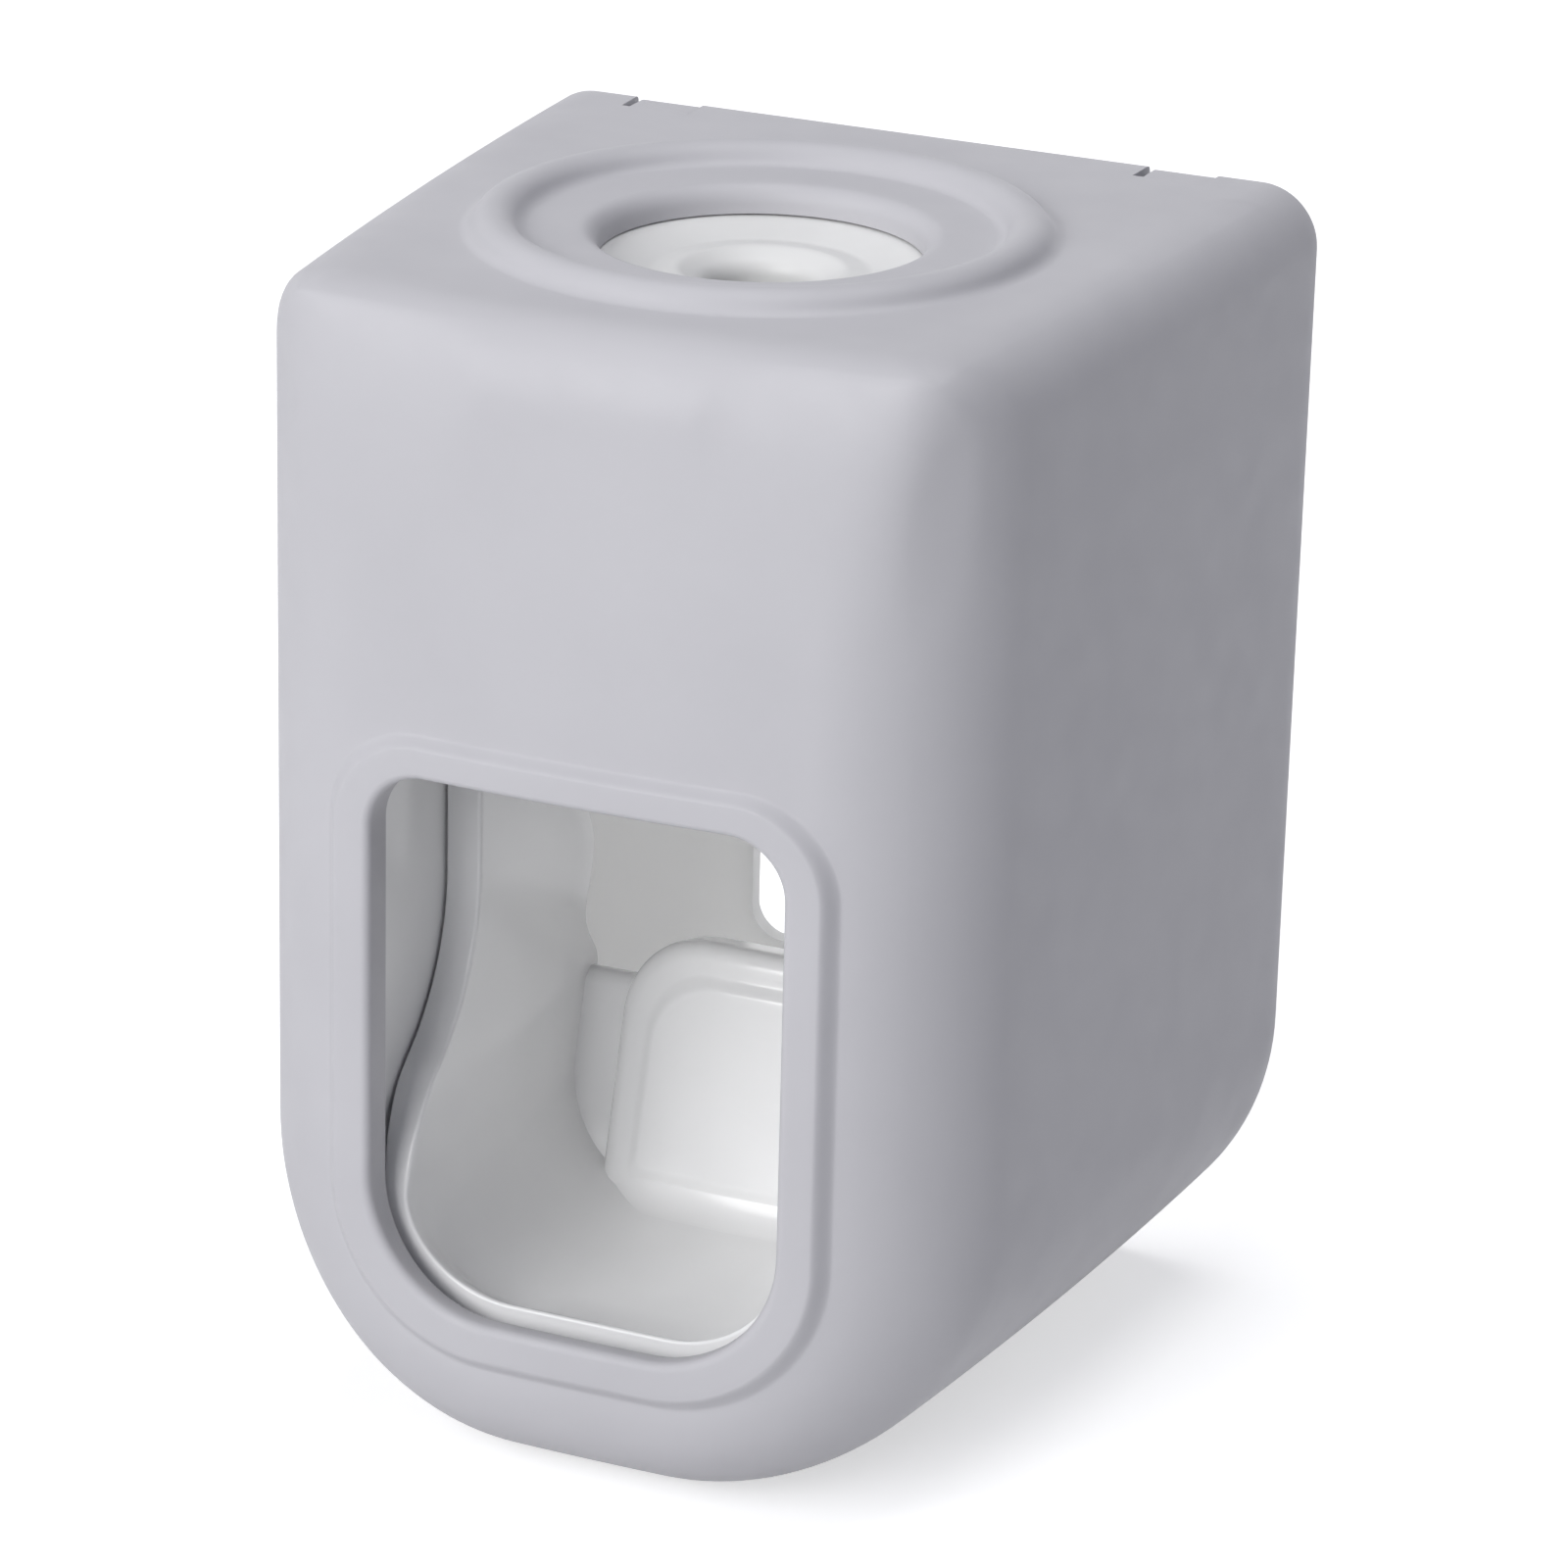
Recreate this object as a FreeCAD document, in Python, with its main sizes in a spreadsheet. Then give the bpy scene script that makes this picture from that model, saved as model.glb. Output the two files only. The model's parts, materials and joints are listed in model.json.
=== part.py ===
import FreeCAD, Part
import math
import os

import Sketcher
from FreeCAD import Placement, Rotation, Vector

# A wall-mounted toothpaste dispenser. Each piece is drawn in the case's own frame: X to the right,
# Y back from the middle of the front, Z up from the underside. The placement then puts the middle
# of the pad's wall face at the origin.

doc = FreeCAD.newDocument("toothpaste_dispenser")

# Driving dimensions, in millimetres
sizes = (
    ("case_width", 72.5, "across the sides at the rear rim"),
    ("case_depth", 68.0, "front to rear rim"),
    ("case_height", 100.0, "underside to top at the rear rim"),
    ("wall", 2.4, "thickness of the housing"),
    ("side_draw", 4.97, "how far each side comes in at the front"),
    ("side_draw_mid", 1.74, "the same at half the depth"),
    ("top_draw", 0.76, "how far the top comes down at the front"),
    ("top_draw_mid", 0.26, "the same at half the depth"),
    ("bottom_draw", 0.87, "how far the underside comes up at the front"),
    ("bottom_draw_mid", 0.22, "the same at half the depth"),
    ("top_corner", 6.5, "upper corners at the rear rim"),
    ("top_corner_front", 14.0, "upper corners at the front"),
    ("bottom_corner", 24.9, "lower corners"),
    ("front_bow", 253.0, "radius of the bowed front"),
    ("front_round", 11.5, "round of the front edge at the sides"),
    ("front_round_top", 13.0, "round of the front edge at the top"),
    ("front_round_bottom", 8.0, "round of the front edge at the underside"),
    ("overrun", 3.0, "how far cutting forms run past a face"),
    ("window_width", 36.5, "brush window"),
    ("window_bottom", 14.3, "height of its lower edge"),
    ("window_top", 61.0, "height of its upper edge"),
    ("window_corner", 5.0, "its upper corners"),
    ("window_corner_low", 11.3, "its lower corners"),
    ("border_width", 4.0, "raised border at the sides and below"),
    ("border_top", 3.3, "raised border above the window"),
    ("border_proud", 1.0, "how far the border stands out"),
    ("border_round", 0.7, "its edges"),
    ("mouth_radius", 13.4, "mouth in the top"),
    ("mouth_lip", 1.1, "round of the mouth's edge"),
    ("bead_margin", 4.6, "room in front of and behind the bead"),
    ("bead_half", 1.85, "radius of the half-round bead"),
    ("notch_centre", 24.0, "top notches, from the middle"),
    ("notch_width", 6.4, "notches for the cover's lugs"),
    ("notch_depth", 3.8, "notches, from the rear rim"),
    ("notch_low_centre", 6.8, "bottom notches, from the middle"),
    ("lug_gap", 0.45, "between a lug and its notch, at each side"),
    ("lug_shift", 0.35, "the lugs sit this far to the right"),
    ("lug_sink", 0.15, "the lugs end this far inside the case"),
    ("lug_root", 4.0, "height of the lugs inside the case"),
    ("post_radius", 3.2, "screw posts of the housing"),
    ("post_end", 30.0, "their ends, from the front"),
    ("post_drop", 16.0, "upper posts, below the top"),
    ("post_low", 25.0, "height of the lower posts"),
    ("cover_thick", 2.2, "back cover"),
    ("cover_gap", 0.25, "round the back cover"),
    ("cutout_width", 27.2, "cut-out in the back cover"),
    ("cutout_bottom", 24.0, "height of its lower edge"),
    ("cutout_top", 50.0, "height of its upper edge"),
    ("cutout_corner", 3.0, "its corners"),
    ("pad_width", 46.0, "adhesive pad"),
    ("pad_height", 34.0, "adhesive pad"),
    ("pad_thick", 1.0, "adhesive pad"),
    ("pad_corner", 4.0, "its corners"),
    ("pad_centre", 72.0, "height of its middle"),
    ("frame_reveal", 2.15, "window's edge to the frame's inner face"),
    ("frame_wall", 2.2, "side walls of the frame"),
    ("frame_front", 5.0, "front edge of the frame's side walls"),
    ("frame_brow", 14.44, "that edge slopes back to the deck this far below it"),
    ("deck_front", 14.0, "front edge of the deck"),
    ("frame_waist", 10.0, "rear edge of its side walls low down, behind the pump's axis"),
    ("frame_rear", 12.0, "rear edge of the frame high up, from the rear rim"),
    ("frame_bottom", 11.5, "height of its lower edge"),
    ("frame_chin", 16.5, "height where the front edge begins"),
    ("chin_back", 9.5, "front end of the lower edge"),
    ("frame_toe", 4.0, "rear end of its lower edge, in front of the pump's axis"),
    ("frame_knee", 32.0, "height where the waist begins"),
    ("frame_shoulder", 30.44, "the waist ends this far below the deck"),
    ("frame_spread", 16.44, "the frame is deep again this far below the deck"),
    ("deck_thick", 2.4, "deck of the frame"),
    ("tongue_width", 8.0, "tongues of the deck"),
    ("tongue_reach", 14.0, "middle of a tongue from the pump's axis"),
    ("ear_thick", 2.4, "screw ears of the frame"),
    ("ear_half", 4.0, "half the height of an ear"),
    ("screw_radius", 1.25, "shank of the frame's screws"),
    ("screw_length", 9.0, "shank below the head"),
    ("screw_head", 2.6, "radius of the head"),
    ("screw_head_height", 1.7, "height of the head"),
    ("screw_gap", 0.3, "round the shank in its ear"),
    ("thread_gap", 0.05, "round the shank in its post"),
    ("seal_gap", 0.3, "between the top's inner face and the seal"),
    ("seal_radius", 17.0, "flange of the seal and of the barrel"),
    ("seal_flange", 2.4, "thickness of the seal's flange"),
    ("seal_dish", 0.9, "how far the seal dips to its collar"),
    ("seal_bore", 4.6, "radius of the hole for the tube's neck"),
    ("seal_collar", 1.1, "wall of the collar round that hole"),
    ("spigot_depth", 4.4, "seal's spigot below its flange"),
    ("spigot_gap", 0.1, "between spigot and barrel"),
    ("barrel_flange", 2.2, "thickness of the barrel's flange"),
    ("barrel_length", 19.0, "barrel below the flange"),
    ("barrel_bore", 8.5, "radius inside the barrel"),
    ("barrel_wall", 2.3, "wall of the barrel"),
    ("deck_gap", 0.3, "between barrel and deck"),
    ("seat_depth", 5.6, "inlet plate, below the barrel's top"),
    ("seat_thick", 1.7, "inlet plate"),
    ("inlet_radius", 1.5, "inlet holes"),
    ("inlet_circle", 4.3, "circle of the inlet holes"),
    ("flap_radius", 6.8, "flap valve"),
    ("flap_thick", 0.8, "flap valve"),
    ("pin_radius", 1.0, "pin of the flap valve"),
    ("pin_head", 1.9, "its heads"),
    ("pin_head_height", 0.9, "its heads"),
    ("fit_gap", 0.05, "running gap of shafts and pins"),
    ("cap_wall", 0.7, "skirt of the barrel's cap"),
    ("cap_floor", 1.4, "floor of the cap"),
    ("cap_skirt", 4.0, "height of the skirt"),
    ("piston_head", 7.0, "height of the piston's head"),
    ("piston_gap", 0.3, "between the piston's head and the barrel"),
    ("piston_rest", 2.0, "head above the cap's floor at rest"),
    ("ring_height", 2.6, "piston's sealing ring"),
    ("ring_depth", 1.4, "groove of that ring"),
    ("stem_radius", 4.2, "piston's stem above the collar"),
    ("stem_low", 3.6, "piston's stem below the collar"),
    ("outlet_bore", 2.2, "channel through piston and nozzle"),
    ("collar_drop", 3.5, "cap to the lift collar at rest"),
    ("collar_radius", 15.0, "flange of the lift collar"),
    ("collar_thick", 4.0, "flange of the lift collar"),
    ("hub_radius", 6.5, "hub of the lift collar"),
    ("hub_drop", 3.4, "hub below the flange"),
    ("trunnion_radius", 1.8, "trunnions of the lift collar"),
    ("trunnion_gap", 0.4, "trunnion's end to the frame"),
    ("spring_radius", 12.6, "middle of the spring's wire"),
    ("spring_wire", 0.55, "radius of the spring's wire"),
    ("spring_turns", 6.0, "turns of the spring"),
    ("seat_gap", 0.05, "spring's ends to what they press on"),
    ("nozzle_radius", 5.6, "outside of the nozzle"),
    ("nozzle_socket", 4.5, "stem inside the nozzle"),
    ("nozzle_floor", 2.0, "nozzle below the stem"),
    ("slit_thick", 0.9, "flange of the slit valve"),
    ("slit_radius", 5.0, "flange of the slit valve"),
    ("slit_dome", 3.2, "radius of its dome"),
    ("nut_wall", 1.0, "ring nut of the nozzle"),
    ("nut_lip", 1.0, "thickness of the nut's lip"),
    ("nut_grip", 4.0, "nut on the nozzle"),
    ("lever_arm", 12.0, "pivot to trunnions"),
    ("lever_boss", 4.6, "round ends of the lever's cheeks"),
    ("cheek_gap", 1.0, "between cheek and frame"),
    ("cheek_wall", 2.4, "cheeks of the lever"),
    ("lever_front", 5.9, "front end of the lever's floor"),
    ("lever_floor", 12.5, "height of the floor's upper face"),
    ("floor_thick", 2.3, "floor of the lever"),
    ("floor_corner", 10.0, "inside round of floor and cheeks"),
    ("sweep_low", 18.0, "height where the cheek's front begins to swing back"),
    ("sweep_high", 46.0, "height where it is upright again"),
    ("heel_top", 44.6, "height of the cheek's rear swell"),
    ("heel_bottom", 30.0, "height of the web's upper edge"),
    ("heel_back", 36.4, "cheek's rear edge at both heights"),
    ("heel_round", 10.5, "radius of the swell"),
    ("pivot_radius", 2.0, "pivot pins"),
    ("pivot_head", 3.4, "heads of the pivot pins"),
    ("pivot_head_thick", 1.6, "heads of the pivot pins"),
    ("pivot_inset", 0.3, "pins end this far inside the cheeks"),
    ("slot_gap", 0.3, "round a trunnion in its slot"),
    ("slot_play", 0.6, "length of the slot beyond its width"),
    ("paddle_lean", 15.0, "degrees that the paddle leans back"),
    ("paddle_front", 32.6, "paddle's face at the foot"),
    ("paddle_foot", 14.8, "height of that foot"),
    ("paddle_half", 12.0, "half the paddle's width"),
    ("paddle_height", 20.8, "paddle along its slope"),
    ("paddle_corner", 7.0, "its upper corners"),
    ("paddle_thick", 4.4, "paddle"),
    ("panel_inset", 3.0, "raised panel inside the paddle's edge"),
    ("panel_step", 0.5, "step of the panel"),
    ("web_sink", 1.6, "web behind the paddle's face"),
    ("web_thick", 2.4, "web of the lever"),
)

sheet = doc.addObject("Spreadsheet::Sheet", "dim")
for row, (alias, number, meaning) in enumerate(sizes, start=1):
    sheet.set(f"A{row}", meaning)
    sheet.set(f"B{row}", str(number))
    sheet.setAlias(f"B{row}", alias)
doc.recompute()


def value(expression):
    """The number that an expression of the sheet gives."""
    found = sheet.evalExpression(expression)
    return float(getattr(found, "Value", found))


def bind(item, **expressions):
    """Tie properties to expressions; a double underscore in a name stands for a dot."""
    for name, expression in expressions.items():
        item.setExpression(name.replace("__", "."), expression)


# Heights and depths that several pieces share, worked out from the dimensions
pump_y = "(dim.case_depth / 2)"
cavity_top = "(dim.case_height - dim.top_draw_mid - dim.wall)"
seal_top = f"({cavity_top} - dim.seal_gap)"
barrel_top = f"({seal_top} - dim.seal_flange)"
deck_top = f"({barrel_top} - dim.barrel_flange)"
deck_bottom = f"({deck_top} - dim.deck_thick)"
seat_top = f"({barrel_top} - dim.seat_depth)"
seat_bottom = f"({seat_top} - dim.seat_thick)"
barrel_bottom = f"({deck_top} - dim.barrel_length)"
barrel_radius = "(dim.barrel_bore + dim.barrel_wall)"
cap_bottom = f"({barrel_bottom} - dim.cap_floor)"
head_bottom = f"({barrel_bottom} + dim.piston_rest)"
head_top = f"({head_bottom} + dim.piston_head)"
collar_top = f"({cap_bottom} - dim.collar_drop)"
collar_bottom = f"({collar_top} - dim.collar_thick)"
hub_bottom = f"({collar_bottom} - dim.hub_drop)"
stem_bottom = f"({hub_bottom} - dim.nozzle_socket)"
nozzle_bottom = f"({stem_bottom} - dim.nozzle_floor)"
trunnion_z = f"({collar_top} - dim.collar_thick / 2)"
pivot_y = f"({pump_y} - dim.lever_arm)"
frame_inner = "(dim.window_width / 2 + dim.frame_reveal)"
frame_outer = f"({frame_inner} + dim.frame_wall)"
cheek_outer = f"({frame_inner} - dim.cheek_gap)"
cheek_inner = f"({cheek_outer} - dim.cheek_wall)"
post_x = f"({frame_outer} + dim.post_radius + dim.fit_gap)"
wall_y = "(dim.case_depth + dim.pad_thick)"

turns = {
    "XY": Rotation(),
    "XZ": Rotation(Vector(1, 0, 0), 90),
    "YZ": Rotation(Vector(1, 1, 1), 120),
}
along = {
    "X": Rotation(Vector(0, 1, 0), 90),
    "Y": Rotation(Vector(1, 0, 0), -90),
    "Z": Rotation(),
}
normals = {"XY": "z", "XZ": "y", "YZ": "x"}
pieces = []


def finish(item, label, on_pump=False):
    """Name a sub-part and put it in the part's frame; turned pieces are drawn about the pump's axis."""
    item.Label = label
    start = pump_y if on_pump else "0"
    bind(item, Placement__Base__y=f"{start} - {wall_y}", Placement__Base__z="-dim.pad_centre")
    pieces.append(item)
    return item


def closed_loop(sketch, corners):
    """A closed outline of (x, y) corners; (x, y, radius, side) makes the run to the next corner an
    arc that turns left (side 1) or right (side -1)."""
    places = [Vector(value(corner[0]), value(corner[1]), 0) for corner in corners]
    first = sketch.GeometryCount
    ends = []
    for index, corner in enumerate(corners):
        start = places[index]
        stop = places[(index + 1) % len(places)]
        if len(corner) == 2:
            sketch.addGeometry(Part.LineSegment(start, stop), False)
            ends.append((1, 2))
            continue
        radius = value(corner[2])
        chord = stop - start
        left = Vector(-chord.y, chord.x, 0).normalize()
        height = math.sqrt(max(radius ** 2 - (chord.Length / 2) ** 2, 0))
        centre = (start + stop) * 0.5 + left * (height * corner[3])
        turn = [math.atan2(place.y - centre.y, place.x - centre.x) for place in (start, stop)]
        circle = Part.Circle(centre, Vector(0, 0, 1), radius)
        if corner[3] > 0:
            sketch.addGeometry(Part.ArcOfCircle(circle, turn[0], turn[1]), False)
            ends.append((1, 2))
        else:
            sketch.addGeometry(Part.ArcOfCircle(circle, turn[1], turn[0]), False)
            ends.append((2, 1))
    for index, corner in enumerate(corners):
        here = first + index
        before = first + (index - 1) % len(corners)
        stop = ends[index - 1][1]
        start = ends[index][0]
        sketch.addConstraint(Sketcher.Constraint("Coincident", before, stop, here, start))
        for kind, expression, number in (("DistanceX", corner[0], places[index].x),
                                         ("DistanceY", corner[1], places[index].y)):
            fixed = sketch.addConstraint(Sketcher.Constraint(kind, -1, 1, here, start, number))
            sketch.setExpression(f"Constraints[{fixed}]", expression)
        if len(corner) > 2:
            fixed = sketch.addConstraint(Sketcher.Constraint("Radius", here, value(corner[2])))
            sketch.setExpression(f"Constraints[{fixed}]", corner[2])


def circle_loop(sketch, across, up, radius):
    """A circle in a sketch."""
    centre = Vector(value(across), value(up), 0)
    here = sketch.addGeometry(Part.Circle(centre, Vector(0, 0, 1), value(radius)), False)
    for kind, expression, number in (("DistanceX", across, centre.x), ("DistanceY", up, centre.y)):
        fixed = sketch.addConstraint(Sketcher.Constraint(kind, -1, 1, here, 3, number))
        sketch.setExpression(f"Constraints[{fixed}]", expression)
    fixed = sketch.addConstraint(Sketcher.Constraint("Radius", here, value(radius)))
    sketch.setExpression(f"Constraints[{fixed}]", radius)


def fill(sketch, loops):
    """Put outlines and circles into a sketch."""
    for loop in loops:
        if loop[0] == "circle":
            circle_loop(sketch, *loop[1:])
        else:
            closed_loop(sketch, loop)
    return sketch


def free_sketch(name, plane, offset, *loops):
    """A sketch that stands by itself, on a plane square to X, Y or Z at the offset."""
    sketch = doc.addObject("Sketcher::SketchObject", name)
    sketch.Placement = Placement(Vector(), turns[plane])
    sketch.setExpression(f"Placement.Base.{normals[plane]}", offset)
    return fill(sketch, loops)


def body_sketch(body, name, plane, offset, *loops):
    """A sketch of a body, on one of the body's own planes."""
    sketch = body.newObject("Sketcher::SketchObject", name)
    support = [item for item in body.Origin.OriginFeatures if item.Role == f"{plane}_Plane"]
    sketch.AttachmentSupport = (support[0], [""])
    sketch.MapMode = "FlatFace"
    sign = "-" if plane == "XZ" else ""
    sketch.setExpression("AttachmentOffset.Base.z", f"{sign}({offset})")
    return fill(sketch, loops)


def rounded_box(left, right, low, high, top_round, low_round):
    """Outline of a rectangle with rounded corners, from its lower left corner round to the left."""
    return [
        (f"{left} + {low_round}", low),
        (f"{right} - {low_round}", low, low_round, 1),
        (right, f"{low} + {low_round}"),
        (right, f"{high} - {top_round}", top_round, 1),
        (f"{right} - {top_round}", high),
        (f"{left} + {top_round}", high, top_round, 1),
        (left, f"{high} - {top_round}"),
        (left, f"{low} + {low_round}", low_round, 1),
    ]


def rectangle(left, right, low, high):
    """Outline of a rectangle."""
    return [(left, low), (right, low), (right, high), (left, high)]


def prism(name, plane, start, stop, *loops):
    """A straight solid between two offsets of a plane, from outlines in that plane."""
    sketch = free_sketch(name + "_outline", plane, start, *loops)
    solid = doc.addObject("Part::Extrusion", name)
    solid.Base = sketch
    solid.DirMode = "Custom"
    solid.Dir = {"XY": Vector(0, 0, 1), "XZ": Vector(0, 1, 0), "YZ": Vector(1, 0, 0)}[plane]
    solid.Solid = True
    bind(solid, LengthFwd=f"({stop}) - ({start})")
    return solid


def rod(name, axis, radius, start, length, **place):
    """A cylinder along X, Y or Z from the start, at the places given for the other two axes."""
    solid = doc.addObject("Part::Cylinder", name)
    solid.Placement = Placement(Vector(), along[axis])
    bind(solid, Radius=radius, Height=length)
    solid.setExpression(f"Placement.Base.{axis.lower()}", start)
    for other, expression in place.items():
        solid.setExpression(f"Placement.Base.{other}", expression)
    return solid


def block(name, left, right, front, back, low, high):
    """A box between three pairs of places."""
    solid = doc.addObject("Part::Box", name)
    bind(solid, Length=f"({right}) - ({left})", Width=f"({back}) - ({front})",
         Height=f"({high}) - ({low})", Placement__Base__x=left, Placement__Base__y=front,
         Placement__Base__z=low)
    return solid


def joined(name, kind, items):
    """A fuse, a compound or a common of several solids."""
    result = doc.addObject(kind, name)
    if kind == "Part::Compound":
        result.Links = items
    else:
        result.Shapes = items
    return result


def cut(name, base, tool):
    """One solid less another."""
    result = doc.addObject("Part::Cut", name)
    result.Base = base
    result.Tool = tool
    return result


def rounded(name, base, radius_of):
    """Round the edges of a solid to which radius_of gives a radius, or a pair along the edge."""
    doc.recompute()
    edges = []
    for index, edge in enumerate(base.Shape.Edges, start=1):
        radius = radius_of(edge)
        if radius:
            ends = radius if isinstance(radius, tuple) else (radius, radius)
            edges.append((index, *ends))
    result = doc.addObject("Part::Fillet", name)
    result.Base = base
    result.Edges = edges
    return result


def turned(label, *loops, on_pump=True):
    """A body turned about its own Z axis from an outline of (radius, height)."""
    body = doc.addObject("PartDesign::Body", label)
    sketch = body_sketch(body, label + "_profile", "XZ", "0", *loops)
    solid = body.newObject("PartDesign::Revolution", label + "_turned")
    solid.Profile = sketch
    solid.ReferenceAxis = (sketch, ["V_Axis"])
    solid.Angle = 360
    return finish(body, label, on_pump)


def padded(body, name, plane, start, length, *loops, both=False):
    """Add a straight solid to a body, from the offset along the plane's axis."""
    sketch = body_sketch(body, name + "_sketch", plane, start, *loops)
    solid = body.newObject("PartDesign::Pad", name)
    solid.Profile = sketch
    solid.Midplane = both
    solid.Reversed = plane == "XZ"
    bind(solid, Length=length)
    return solid


def pocketed(body, name, plane, start, length, *loops):
    """Cut a straight hole into a body, from the offset along the plane's axis; it has to cut something."""
    doc.recompute()
    before = body.Shape.Volume
    sketch = body_sketch(body, name + "_sketch", plane, start, *loops)
    hole = body.newObject("PartDesign::Pocket", name)
    hole.Profile = sketch
    hole.Reversed = plane != "XZ"
    bind(hole, Length=length)
    doc.recompute()
    if body.Shape.Volume > before - 1e-6:
        raise ValueError(f"{name} cuts nothing")
    return hole


# Case: the shell is a loft of three rounded sections, cut by the bow of the front
def drawn_in(side, share):
    """How far a side comes in at a share of the way from the rear rim to the front."""
    front = f"dim.{side}_draw"
    middle = f"dim.{side}_draw_mid"
    return f"(2 * ({front} - 2 * {middle}) * {share} ^ 2 + (4 * {middle} - {front}) * {share})"


def case_section(depth, inset):
    """Outline across the case at a depth, moved inwards by the inset."""
    share = f"(1 - ({depth}) / dim.case_depth)"
    half = f"(dim.case_width / 2 - {drawn_in('side', share)} - {inset})"
    high = f"(dim.case_height - {drawn_in('top', share)} - {inset})"
    low = f"({drawn_in('bottom', share)} + {inset})"
    top_round = f"(dim.top_corner + (dim.top_corner_front - dim.top_corner) * {share} - {inset})"
    low_round = f"(dim.bottom_corner - {inset})"
    return rounded_box(f"-{half}", half, low, high, top_round, low_round)


def bow(name, front, radius):
    """A large upright cylinder whose near side is the bowed front."""
    return rod(name, "Z", radius, "-dim.overrun", "dim.case_height + 2 * dim.overrun", x="0",
               y=f"{front} + {radius}")


def case_form(name, inset, rear):
    """The case as a solid with its bowed and rounded front, moved inwards by the inset."""
    sections = []
    for number, depth in enumerate((rear, "dim.case_depth / 2", f"{inset} - dim.overrun")):
        sections.append(free_sketch(f"{name}_section_{number}", "XZ", depth, case_section(depth, inset)))
    loft = doc.addObject("Part::Loft", name + "_loft")
    loft.Sections = sections
    loft.Solid = True
    front = bow(name + "_bow", inset, f"(dim.front_bow - {inset})")
    plain = joined(name + "_plain", "Part::MultiCommon", [loft, front])
    reach = value(f"{inset} + dim.side_draw + dim.overrun")
    half_height = value("dim.case_height / 2")

    def front_radius(edge):
        if max(point.y for point in edge.discretize(5)) > reach:
            return None
        middle = edge.CenterOfMass
        side = value(f"dim.front_round - {inset}")
        if middle.z > half_height:
            level = value(f"dim.front_round_top - {inset}")
        else:
            level = value(f"dim.front_round_bottom - {inset}")
        first, last = (vertex.Point for vertex in edge.Vertexes)
        if abs(first.x - last.x) < 1e-3 or abs(first.x + last.x) > 1e-3 and abs(first.z - last.z) > 40:
            return side
        if abs(first.z - last.z) < 1e-3:
            return level
        return (side, level) if abs(first.x) > abs(last.x) else (level, side)

    return rounded(name, plain, front_radius)


def window_outline(grow_side, grow_top):
    """Outline of the brush window, or of its border."""
    half = f"(dim.window_width / 2 + {grow_side})"
    return rounded_box(f"-{half}", half, f"(dim.window_bottom - {grow_side})",
                       f"(dim.window_top + {grow_top})", f"(dim.window_corner + {grow_top})",
                       f"(dim.window_corner_low + {grow_top})")


def mirrored_blocks(name, centres, width, front, back, low, high):
    """Boxes of one width at several places across the case."""
    return [block(f"{name}_{number}", f"{centre} - {width} / 2", f"{centre} + {width} / 2", front, back,
                  low, high) for number, centre in enumerate(centres)]


post_levels = ("(dim.case_height - dim.post_drop)", "dim.post_low")
post_places = [(f"{sign}{post_x}", level) for sign in ("-", "") for level in post_levels]
top_notches = ["-dim.notch_centre", "dim.notch_centre"]
low_notches = ["-dim.notch_low_centre", "dim.notch_low_centre"]

outer_form = case_form("outer_form", "0", "dim.case_depth")
cavity = case_form("cavity", "dim.wall", "dim.case_depth + dim.overrun")
shell = cut("shell", outer_form, cavity)

border_plate = prism("border_plate", "XZ", "-dim.overrun", "0.8 * dim.wall",
                     window_outline("dim.border_width", "dim.border_top"))
border_bow = bow("border_bow", "-dim.border_proud", "(dim.front_bow + dim.border_proud)")
border_plain = joined("border_plain", "Part::MultiCommon", [border_plate, border_bow])


def on_border_face(edge):
    """True where an edge runs along the border's front face."""
    axis = Vector(0, value("dim.front_bow"), 0)
    face = value("dim.front_bow + dim.border_proud")
    return all(abs(math.hypot(point.x - axis.x, point.y - axis.y) - face) < 1e-3
               for point in edge.discretize(5))


border = rounded("border", border_plain,
                 lambda edge: value("dim.border_round") if on_border_face(edge) else None)

bead_radius = f"((dim.mouth_radius + dim.mouth_lip + {pump_y} - dim.bead_margin) / 2)"
bead = doc.addObject("Part::Torus", "bead")
bind(bead, Radius1=bead_radius, Radius2="dim.bead_half", Placement__Base__y=pump_y,
     Placement__Base__z="dim.case_height - dim.top_draw_mid")

post_rods = [rod(f"post_{number}", "Y", "dim.post_radius", "-dim.overrun", "dim.post_end + dim.overrun",
                 x=across, z=up) for number, (across, up) in enumerate(post_places)]
posts = joined("posts", "Part::MultiCommon",
               [joined("post_rods", "Part::MultiFuse", post_rods), outer_form])

housing_whole = joined("housing_whole", "Part::MultiFuse", [shell, border, bead, posts])
housing_cuts = [
    prism("window_cut", "XZ", "-2 * dim.overrun", "dim.wall + dim.overrun", window_outline("0", "0")),
    rod("mouth_cut", "Z", "dim.mouth_radius", f"{cavity_top} - dim.overrun", "dim.wall + 3 * dim.overrun",
        x="0", y=pump_y),
]
housing_cuts += mirrored_blocks("top_notch", top_notches, "dim.notch_width",
                                "dim.case_depth - dim.notch_depth", "dim.case_depth + dim.overrun",
                                f"{cavity_top} - dim.overrun", "dim.case_height + dim.overrun")
housing_cuts += mirrored_blocks("low_notch", low_notches, "dim.notch_width",
                                "dim.case_depth - dim.notch_depth", "dim.case_depth + dim.overrun",
                                "-dim.overrun", "dim.wall + dim.overrun")
housing_cuts += [rod(f"post_hole_{number}", "Y", "dim.screw_radius + dim.thread_gap",
                     "dim.post_end - dim.screw_length", "dim.screw_length + dim.overrun", x=across, z=up)
                 for number, (across, up) in enumerate(post_places)]
housing_open = cut("housing_open", housing_whole,
                   joined("housing_cuts", "Part::MultiFuse", housing_cuts))


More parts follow.
